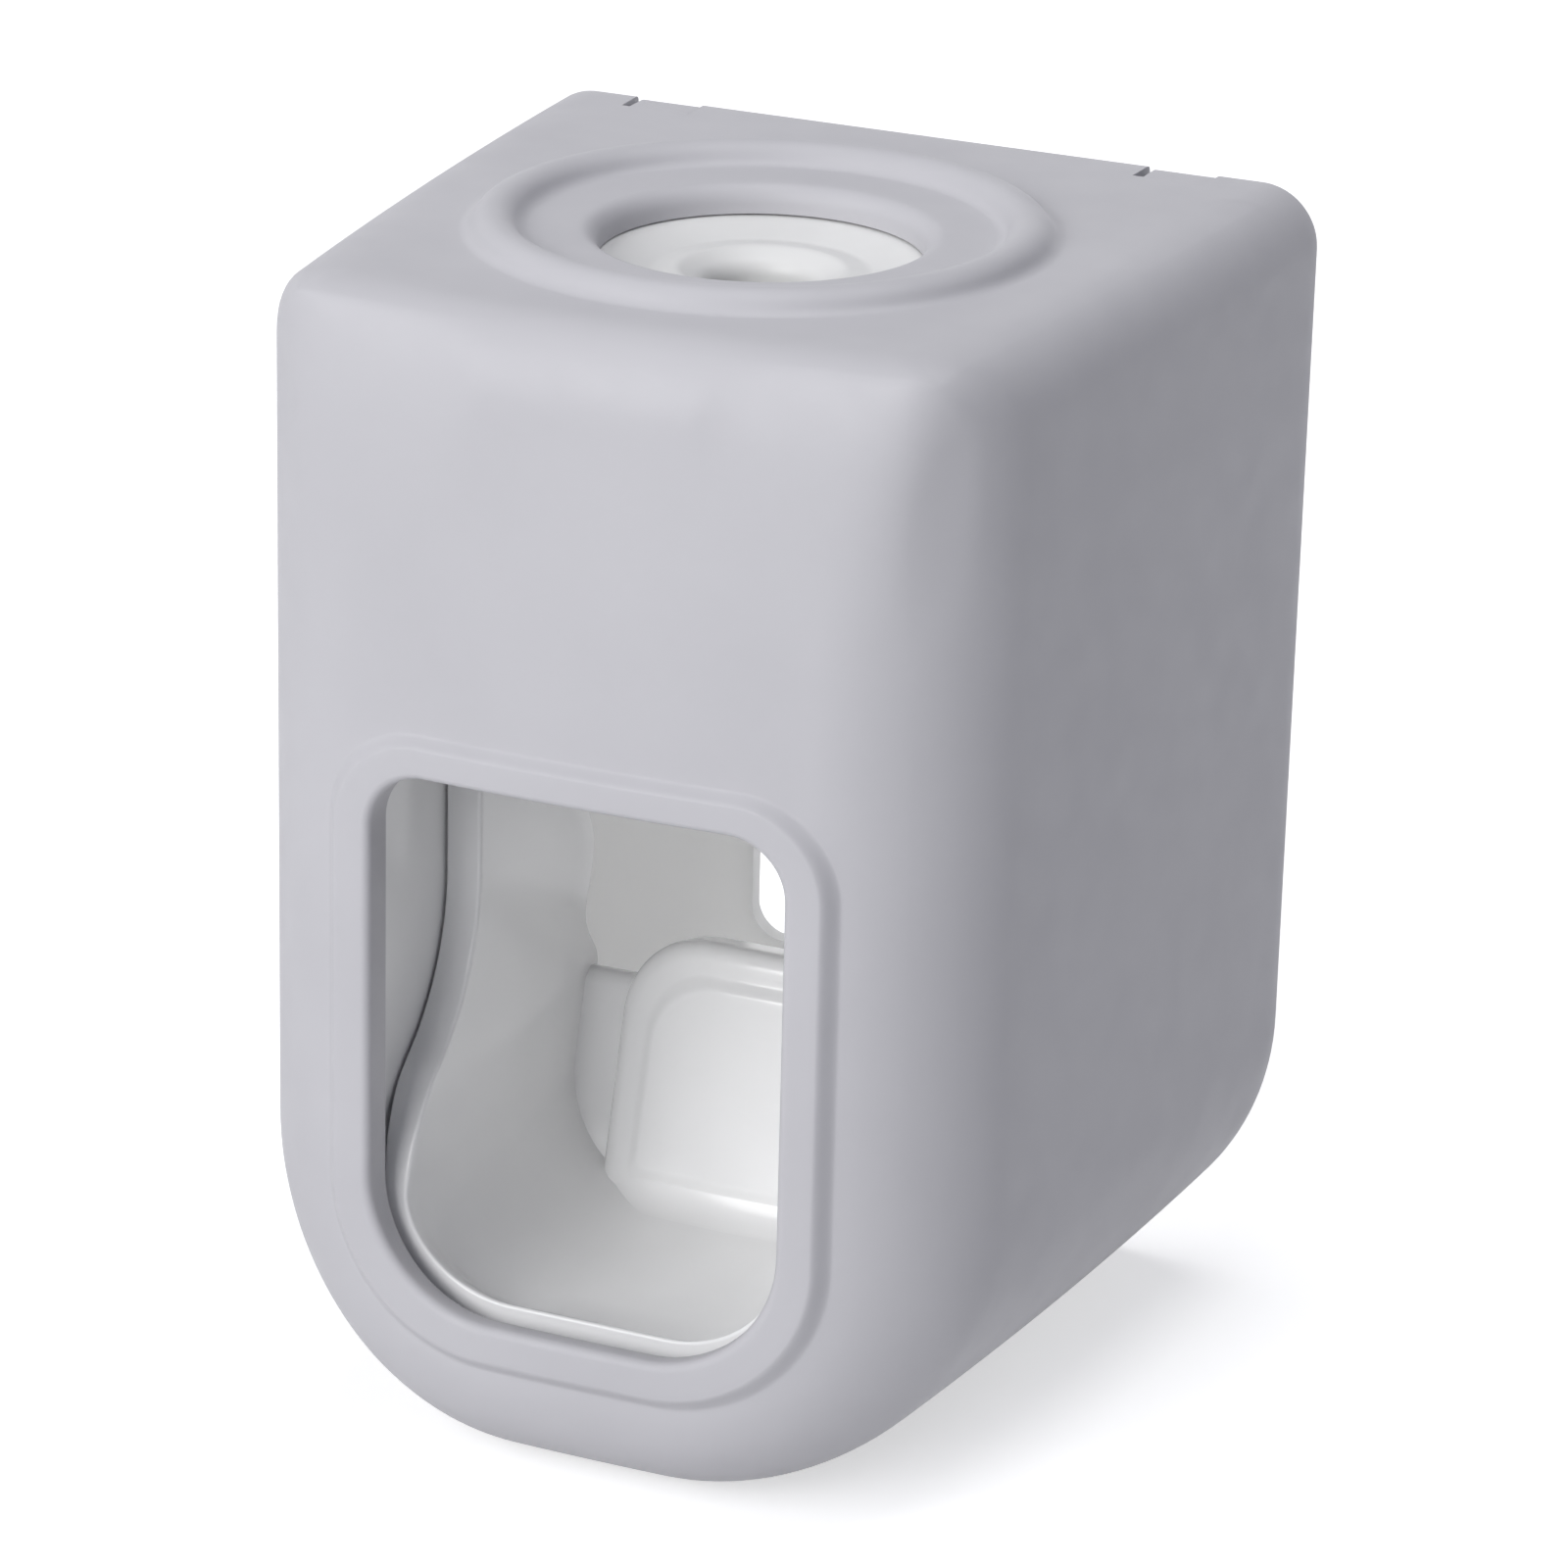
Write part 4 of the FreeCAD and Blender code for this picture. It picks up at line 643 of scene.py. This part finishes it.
def coverPatch():
    # round the plate's section: outer rear edge, rear face, the cut-out's edge and wall, front face
    rear, front = case["depth"], case["depth"] - cover["thick"]
    outline = caseSection(front, cover["inset"])
    size = cover["edge"]
    rows = []
    for angle in quarter(cover["edgeRows"]):
        x, z = outlineAt(around, *outline, size * (1 - math.cos(angle)))
        rows.append(placed(x, rear - size * (1 - math.sin(angle)), z))
    size = cover["cutEdge"]
    holeX, holeZ = outlineAt(around, *cover["cutout"], -size)
    rows += [placed(mix(x, holeX, share), rear, mix(z, holeZ, share)) for share in shares(cover["rearRows"])[1:-1]]
    for angle in quarter(cover["edgeRows"]):
        x, z = outlineAt(around, *cover["cutout"], -size * (1 - math.sin(angle)))
        rows.append(placed(x, rear - size * (1 - math.cos(angle)), z))
    rows.append(placed(x, front, z))
    outerX, outerZ = outlineAt(around, *outline)
    rows += [placed(mix(x, outerX, share), front, mix(z, outerZ, share)) for share in shares(cover["frontRows"])[1:]]
    return tube(np.array(rows), closedRows=True, closedColumns=True)


def lugBlock(middle, low, high):
    # a block whose outline and whose ends are rounded
    columns = evenColumns(*cover["lugColumns"])
    edge, corner = cover["lugEdge"], cover["lugCorner"]
    turn = quarter(cover["lugRows"])
    rows = []
    for end, sign, angles in ((cover["lugFront"], 1, turn[::-1]), (cover["lugRear"], -1, turn)):
        for angle in angles:
            x, z = outlineAt(columns, cover["lugHalf"], low, high, corner, corner, edge * (1 - math.cos(angle)))
            rows.append(placed(x + middle, end + sign * edge * (1 - math.sin(angle)), z))
    return bar(rows)


backCover = putPiece("rear_cover", [coverPatch()], thinWhite, "housing")
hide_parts("back_cover")
# the lugs are the white cover's own moulding; the case's darker plastic on them is painted shade
putPiece("cover_lugs", [lugBlock(*lug) for lug in cover["lugs"]], casePlastic, "housing")


# Foam pad: a soft sheet with full, rounded edges, flat on the cover and on its wall face

pad = {"outline": (23.0, 55.0, 89.0, 4.0), "faces": (68.0, 69.0), "edge": 0.42,  # half width, foot, top and corner
       "rings": (0.68, 0.45, 0.2, 0.07), "leastCorner": 0.6,  # shares of the half width
       "columns": (13, 14, 18, 14, 26), "edgeRows": 11}


def padPatch():
    # rings from the middle of one face outwards, round the full edge, and back to the middle of the other
    columns = evenColumns(*pad["columns"])
    half, low, high, corner = pad["outline"]
    front, back = pad["faces"]
    insets = [half * share for share in pad["rings"]]

    def ring(y, inset):
        bend = max(corner - inset, pad["leastCorner"])
        x, z = outlineAt(columns, half - inset, low + inset, high - inset, bend, bend)
        return placed(x, y, z)

    rows = [ring(front, inset) for inset in insets]
    for angle in np.radians(np.linspace(-90, 90, pad["edgeRows"])):
        x, z = outlineAt(columns, half, low, high, corner, corner, pad["edge"] * (1 - math.cos(angle)))
        rows.append(placed(x, front + (back - front) / 2 * (1 + math.sin(angle)), z))
    return bar(rows + [ring(back, inset) for inset in insets[::-1]])


foamPad = putPiece("foam_pad", [padPatch()], whiteFoam, "housing")
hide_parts("adhesive_pad")


# Tube seal: a turned silicone ring with a soft dish and a collar round the hole

seal = {
    "middle": 34.0, "around": 128, "cornerSteps": 6,
    "profile": ((4.6, 90.24, 0.3), (8.4, 90.24, 0.4), (8.4, 94.64, 0.0), (17.0, 94.64, 0.3), (17.0, 97.04, 0.3),
                (15.2, 97.04, 0.6), (14.2, 97.40, 0.6), (12.6, 97.30, 5.0), (9.0, 96.45, 2.0), (6.9, 96.75, 1.5),
                (4.6, 95.6, 1.6)),  # radius, height and the corner's round
}
sealSkin = turnedSkin(softCorners(seal["profile"], seal["cornerSteps"]), seal["around"], 0.0, seal["middle"])
tubeSeal = putPiece("mouth_seal", [sealSkin], milkySilicone, "housing")
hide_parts("tube_seal")


# Return spring: round wire along a helix whose end turns lie closed

spring = {"middle": 34.0, "radius": 12.6, "wire": 0.55, "low": 69.14, "high": 89.44, "turns": 6.4,
          "closed": 0.9, "ease": 0.35, "closedPitch": 0.18, "steps": 420, "sides": 12, "sharp": 60.0}


def springPatch():
    # the pitch is small over the closed turns and even between them; the wire's ring stands square to the helix
    turn = np.linspace(0, spring["turns"], spring["steps"])
    fromEnd = np.minimum(turn, spring["turns"] - turn)
    opened = np.clip((fromEnd - spring["closed"] + spring["ease"]) / spring["ease"], 0, 1)
    pitch = mix(spring["closedPitch"], 1.0, smooth(opened))
    rise = np.concatenate([[0], np.cumsum((pitch[1:] + pitch[:-1]) / 2)])
    z = mix(spring["low"], spring["high"], rise / rise[-1])
    angle = 2 * math.pi * turn
    out = placed(np.cos(angle), np.sin(angle), 0.0)
    path = out * spring["radius"] + placed(0.0, spring["middle"], z)
    along = np.gradient(path, axis=0)
    along /= np.linalg.norm(along, axis=1)[:, None]
    across = np.cross(along, out)
    ring = np.linspace(0, 2 * math.pi, spring["sides"], endpoint=False)[None, :, None]
    return bar(path[:, None] + spring["wire"] * (np.cos(ring) * out[:, None] + np.sin(ring) * across[:, None]))


returnSpring = putPiece("coil_spring", [springPatch()], bareSteel, "housing", spring["sharp"])
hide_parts("return_spring")
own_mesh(returnSpring)


# Push lever: a sheet bent into a trough, trimmed by the cheeks' side outline, with web, paddle and foot fillet

lever = {
    "inner": 17.0, "wall": 2.4, "floor": 12.5, "corner": 10.0, "edge": 0.3,
    "lip": (1.9, 2.3, 22.0, 9.5),  # floor's front edge: rise, reach, where it ends up the cheek, run
    "flange": (0.75, 3.0, 24.0, 6.0, 9.0),  # cheek's front edge: thickening, reach, start, run, end below the pivot
    "front": 3.7, "sweep": (18.0, 46.0), "cheekFront": 17.4,
    "pivot": (22.0, 66.54), "trunnion": 34.0, "boss": 4.6, "bore": 2.05, "slot": (2.1, 0.6), "holeReach": 25.0,
    "heel": (30.0, 36.0, 41.0, 3.0, 7.5),  # foot, depth there, the swell's height, size and run upwards
    "heelStep": (0.5, 7.5, 1.0),  # from the web's back to the heel: start below the foot, run, last height used
    "lean": 15.0, "face": (32.6, 14.8),
    "web": (1.6, 2.4, 30.0), "webEdge": 1.1, "webStep": 0.15, "webSunk": 0.2,  # depth, thickness and top
    "paddle": (12.9, -3.5, 20.8, 7.4, 4.4),  # half width, foot, top, corner and thickness
    "paddleEdge": 1.7, "paddleBack": 0.6, "paddleFoot": 1.0, "cornerShare": 0.5, "crown": 0.7,
    "panel": (2.7, 4.1, 0.55, 9.0), "panelRings": (0.7, 0.4, 0.1),  # the step's start, end and rise, last inset
    "foot": (3.2, 0.4, 11.4), "footSunk": (0.8, 0.5),  # round in the middle, at the ends, half width
    "webRows": 22, "webColumns": 15, "paddleColumns": (13, 8, 30, 20, 20), "flatRings": 7, "holeSides": 48,
}
lean = math.radians(lever["lean"])


def paddleFace(z, behind):
    # depth of the leaning face's plane, or of one behind it
    return lever["face"][0] + (z - lever["face"][1]) * math.tan(lean) + behind / math.cos(lean)


def bossEdge(z, y, middle, sign):
    # the boss's round above the pivot's height, the given edge below it
    up = np.clip(z - lever["pivot"][1], 0, lever["boss"])
    return np.where(z > lever["pivot"][1], middle + sign * np.sqrt(lever["boss"] ** 2 - up ** 2), y)


def cheekFrontEdge(z):
    # upright, an S of two equal arcs back to the cheek, then the boss's round
    low, high = lever["sweep"]
    run, rise = lever["cheekFront"] - lever["front"], high - low
    radius = (run ** 2 + rise ** 2) / (4 * run)
    swing = lambda height: radius - np.sqrt(radius ** 2 - np.clip(height, 0, rise / 2) ** 2)
    y = np.where(z < (low + high) / 2, lever["front"] + swing(z - low), lever["cheekFront"] - swing(high - z))
    return bossEdge(z, y, lever["pivot"][0], -1)


def cheekRearEdge(z):
    # the web's back, a soft step in to the heel, a straight run with a swell on it, then the boss's round
    low, back, middle, swell, fall = lever["heel"]
    lead, run, past = lever["heelStep"]
    top = lever["trunnion"] + lever["boss"]
    heel = mix(back, top, np.clip((z - low) / (lever["pivot"][1] - low), 0, 1))
    aside = (z - middle) / np.where(z > middle, fall, middle - low)
    heel = heel + swell * np.cos(np.clip(aside, -1, 1) * math.pi / 2) ** 2
    web = paddleFace(np.minimum(z, low + past), sum(lever["web"][:2]))
    return bossEdge(z, mix(web, heel, smooth(np.clip((z - low + lead) / run, 0, 1))), lever["trunnion"], 1)


def troughPatch():
    # the sheet's path across: down one cheek, round the corner, over the floor and up the other cheek
    fromTop = np.radians(np.linspace(89.5, 0, 14))  # just short of the boss's top
    boss = lever["pivot"][1] + lever["boss"] * np.sin(fromTop)
    corner, bend, flat = lever["corner"], lever["floor"] + lever["corner"], lever["inner"] - lever["corner"]
    cheek = np.concatenate([boss, np.linspace(boss[-1], bend, 76)[1:]])
    arc = np.radians(np.linspace(180, 270, 25))[1:]
    half = np.concatenate([placed(-lever["inner"], cheek, -1.0, 0.0),
                           placed(-flat + corner * np.cos(arc), bend + corner * np.sin(arc), np.cos(arc), np.sin(arc)),
                           placed(np.linspace(-flat, 0, 6)[1:], lever["floor"], 0.0, -1.0)])
    path = np.concatenate([half, (half * (-1, 1, -1, 1))[-2::-1]])
    x, z, nx, nz = path.T[:, :, None]
    # round the sheet's edge: the inner face to the rear, the rear edge, the outer face to the front, the front edge
    turn = quarter(5)
    size, wall = lever["edge"], lever["wall"]
    inward, sink = size * (1 - np.sin(turn)), size * (1 - np.cos(turn))
    run = runOf([0, 0.12, 1], (6, 7))[1:-1]  # closer rows near the front
    onFace, onEdge = 0 * run, 0 * turn
    depthIn = np.concatenate([onFace, sink, wall - sink[::-1], wall + onFace, wall - sink, sink[::-1]])
    fromRear = np.concatenate([onFace, inward, inward[::-1], onFace, onEdge, onEdge])
    fromFront = np.concatenate([onFace, onEdge, onEdge, onFace, inward, inward[::-1]])
    share = np.concatenate([run, 1 + onEdge, 1 + onEdge, 1 - run, onEdge, onEdge])
    first, last = cheekFrontEdge(z), cheekRearEdge(z)
    between = mix(first + size, last - size, share)
    y = np.where(share == 1, last - fromRear, np.where(share == 0, first + fromFront, between))
    inside = depthIn < wall / 2
    rise, reach, end, fade = lever["lip"]  # the front lip rises to the window's edge
    lift = rise * np.exp(-((y - first) / reach) ** 2) * np.clip((end - z) / fade, 0, 1)
    more, reach, start, fade, below = lever["flange"]  # the cheek's front edge is thicker on its outside
    thicker = more * np.exp(-((y - first) / reach) ** 2) * np.clip((z - start) / fade, 0, 1)
    thicker = thicker * (z < lever["pivot"][1] - below)
    depthIn = depthIn + np.where(inside, -lift, thicker)
    return bar(placed(x + nx * depthIn, y, z + nz * depthIn))


def webPatch():
    # a leaning plate between the cheeks, as wide as the trough's middle line at each height
    sink, thick, top = lever["web"]
    thick -= lever["webStep"]  # its back lies just inside the cheeks' rear edges
    size, steps = lever["webEdge"], lever["webRows"]
    bend, middle = lever["floor"] + lever["corner"], lever["corner"] + lever["wall"] / 2
    turn = quarter(6)[1:]
    low = lever["floor"] - lever["wall"] / 2 + lever["webSunk"]
    up = np.concatenate([np.linspace(low, top - size, steps), top - size + size * np.sin(turn)])
    pull = np.concatenate([np.zeros(steps), size * (1 - np.cos(turn))])
    heights = np.concatenate([up, up[::-1]])
    behind = np.concatenate([sink + pull, (sink + thick - pull)[::-1]])
    inArc = lever["inner"] - lever["corner"] + np.sqrt(np.maximum(middle ** 2 - (bend - heights) ** 2, 0))
    half = np.where(heights < bend, inArc, lever["inner"] + lever["wall"] / 2)
    across = np.linspace(-1, 1, lever["webColumns"])
    points, faces = tube(placed(across[:, None] * half, paddleFace(heights, behind), heights), closedColumns=True)
    count = len(heights)
    front = np.arange(len(up) - 1)  # each end is closed by a strip from the front's edge to the back's
    strip = np.stack([front, front + 1, count - 2 - front, count - 1 - front], axis=-1)
    return points, faces + strip.tolist() + (strip + (len(across) - 1) * count).tolist()


def paddlePatch():
    # outlines set in from the paddle's edge: back, side, rounded edge, band, soft step and crowned panel
    half, low, high, corner, thick = lever["paddle"]
    size, backEdge = lever["paddleEdge"], lever["paddleBack"]
    stepStart, stepEnd, rise, lastInset = lever["panel"]
    columns = evenColumns(*lever["paddleColumns"])
    turn, ramp, flatRings = quarter(9), shares(7), lever["flatRings"]
    insets = np.concatenate([[backEdge, 0.0], size * (1 - np.cos(turn)), [(size + stepStart) / 2],
                             mix(stepStart, stepEnd, ramp), mix(stepEnd, lastInset, shares(flatRings)[1:])])
    lifts = np.concatenate([[-thick, backEdge - thick], size * (np.sin(turn) - 1), [0.0], rise * smooth(ramp),
                            np.full(flatRings + len(lever["panelRings"]), rise)])
    loops = [outlineAt(columns, half - inset, low + inset, high - inset, lever["paddleFoot"],
                       corner - lever["cornerShare"] * inset) for inset in insets]
    lastX, lastZ = loops[-1]
    loops += [(lastX * share, mix(lastZ.mean(), lastZ, share)) for share in lever["panelRings"]]
    rows = []
    for (across, up), lift in zip(loops, lifts):
        onFront = lift > -size - 0.01  # the back and the side stay flat
        out = lift + lever["crown"] * (1 - (across / half) ** 2) * onFront
        rows.append(placed(across, lever["face"][0] + up * math.sin(lean) - out * math.cos(lean),
                           lever["face"][1] + up * math.cos(lean) + out * math.sin(lean)))
    return bar(rows)


def footPatch():
    # hollow round between floor and paddle, an arc tangent to both, drawn out to little at its ends
    radius, least, half = lever["foot"]
    deep, shallow = lever["footSunk"]  # inside the paddle and the floor
    across = np.linspace(-1, 1, 31)[:, None]
    size = mix(least, radius, np.sqrt(np.maximum(1 - np.abs(across) ** 6, 0)))
    bulge = lever["crown"] * (1 - (across * half / lever["paddle"][0]) ** 2)
    arc = np.radians(np.linspace(-90, -lever["lean"], 12))
    middleZ = lever["floor"] + size
    inFront = bulge + size - math.sin(lean) * (middleZ - lever["face"][1])
    middleY = lever["face"][0] - inFront / math.cos(lean)
    y, z = middleY + size * np.cos(arc), middleZ + size * np.sin(arc)
    floor = np.full(size.shape, lever["floor"] - deep)
    y = np.concatenate([y, y[:, -1:] + deep, y[:, -1:] + shallow, y[:, :1]], axis=1)
    z = np.concatenate([z, z[:, -1:], floor, z[:, :1] - deep], axis=1)
    return bar(placed(across * half, y, z))


def leverHoles():
    # the pivot's bore and the trunnion's slot as bars right across both cheeks
    patches = []
    sides = lever["holeSides"]
    angle = np.linspace(0, 2 * math.pi, sides, endpoint=False) + math.pi / sides
    for middle, radius, play in ((lever["pivot"][0], lever["bore"], 0.0), (lever["trunnion"], *lever["slot"])):
        y = middle + radius * np.cos(angle) + play * np.sign(np.cos(angle))
        z = lever["pivot"][1] + radius * np.sin(angle)
        patches.append(bar([placed(sign * lever["holeReach"], y, z) for sign in (-1, 1)]))
    return patches


def bored(piece, patches):
    # takes the bars out of a piece, and leaves the result in its mesh
    cutter = putPiece("hole_bars", patches, whitePlastic, "lever")
    change = piece.modifiers.new("holes", "BOOLEAN")
    change.operation, change.solver, change.object = "DIFFERENCE", "EXACT", cutter
    seen = piece.evaluated_get(bpy.context.evaluated_depsgraph_get())
    result = bpy.data.meshes.new_from_object(seen)
    piece.modifiers.clear()
    piece.data = result
    result.set_sharp_from_angle(angle=math.radians(sharpAngle))
    bpy.data.objects.remove(cutter)


pushLever = putPiece("scoop_lever", [troughPatch()], whitePlastic, "lever")
bored(pushLever, leverHoles())
putPiece("lever_paddle", [webPatch(), paddlePatch(), footPatch()], whitePlastic, "lever")
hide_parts("push_lever")


# Floor, light and camera

studio = {
    "ambient": (0.080, 0.085, 0.120), "aim": (0, -0.035, -0.02),
    "floor": -0.0722, "floorSize": 6.0, "floorTone": 0.80, "floorRough": 0.9, "floorLift": 0.55,
    "key": ((-0.75, -1.25, 1.0), 1.0, 10.5), "front": ((-0.23, -1.57, 0.6), 0.8, 11.6),  # place, width, power
    "top": ((0.1, 0.1, 1.6), 1.2, 11.2), "rear": ((0.15, 1.5, 0.04), 0.35, 14.0),
}


def seenRays(tree):
    # one for camera, mirror and clear rays, nothing for the rest
    path = tree.nodes.new("ShaderNodeLightPath")
    seen = path.outputs["Is Camera Ray"]
    for other in ("Is Glossy Ray", "Is Transmission Ray"):
        either = tree.nodes.new("ShaderNodeMath")
        either.operation = "MAXIMUM"
        tree.links.new(seen, either.inputs[0])
        tree.links.new(path.outputs[other], either.inputs[1])
        seen = either.outputs["Value"]
    return seen


world = bpy.data.worlds.new("studio")
world.use_nodes = True
scene.world = world
skyTree = world.node_tree
sky = skyTree.nodes["Background"]
skyMix = skyTree.nodes.new("ShaderNodeMixRGB")
skyMix.inputs["Color1"].default_value = (*studio["ambient"], 1)
skyMix.inputs["Color2"].default_value = (1, 1, 1, 1)
skyTree.links.new(seenRays(skyTree), skyMix.inputs["Fac"])  # white where it is seen
skyTree.links.new(skyMix.outputs["Color"], sky.inputs["Color"])
sky.inputs["Strength"].default_value = 1.0

floorMesh = bpy.data.meshes.new("floor")
corners = [(studio["floorSize"] * x, studio["floorSize"] * y, studio["floor"])
           for x, y in ((-1, -1), (1, -1), (1, 1), (-1, 1))]
floorMesh.from_pydata(corners, [], [(0, 1, 2, 3)])
floor = bpy.data.objects.new("floor", floorMesh)
scene.collection.objects.link(floor)
pale, floorTree, floorShader = nodeTree("pale_floor")
floorShader.inputs["Base Color"].default_value = (studio["floorTone"],) * 3 + (1,)
floorShader.inputs["Roughness"].default_value = studio["floorRough"]
floorShader.inputs["Emission Color"].default_value = (1, 1, 1, 1)
rampTo(floorTree, seenRays(floorTree), 0.0, studio["floorLift"], floorShader.inputs["Emission Strength"],
       span=(0.0, 1.0))  # white where it is seen, with the shadow kept
floorMesh.materials.append(pale)


def areaLight(name, place, size, power):
    lamp = bpy.data.lights.new(name, "AREA")
    lamp.shape, lamp.size, lamp.energy = "DISK", size, power
    item = bpy.data.objects.new(name, lamp)
    item.location = place
    item.rotation_euler = (Vector(studio["aim"]) - item.location).to_track_quat("-Z", "Y").to_euler()
    item.visible_glossy = name != "rear"  # no hard glint of the lamp behind
    scene.collection.objects.link(item)


for name in ("key", "front", "top", "rear"):
    areaLight(name, *studio[name])

view = {"place": (0.2067, -0.5005, 0.1711), "azimuth": 23.616, "elevation": 20.598, "roll": 1.415,
        "lens": 148.43, "sensor": 36.0, "clip": (0.01, 50.0)}


def setCamera():
    # back points from the object to the camera; roll turns the picture about it
    turn, tilt, roll = (math.radians(view[key]) for key in ("azimuth", "elevation", "roll"))
    back = np.array([math.sin(turn) * math.cos(tilt), -math.cos(turn) * math.cos(tilt), math.sin(tilt)])
    right = np.array([math.cos(turn), math.sin(turn), 0.0])
    up = np.cross(back, right)
    rolledRight = math.cos(roll) * right + math.sin(roll) * up
    rolledUp = -math.sin(roll) * right + math.cos(roll) * up
    lens = bpy.data.cameras.new("camera")
    lens.sensor_width, lens.lens = view["sensor"], view["lens"]
    lens.clip_start, lens.clip_end = view["clip"]
    camera = bpy.data.objects.new("camera", lens)
    axes = np.eye(4)
    axes[:3, 0], axes[:3, 1], axes[:3, 2], axes[:3, 3] = rolledRight, rolledUp, back, view["place"]
    camera.matrix_world = Matrix(axes.tolist())
    scene.collection.objects.link(camera)
    scene.camera = camera


setCamera()
print("floor, lights and camera set")
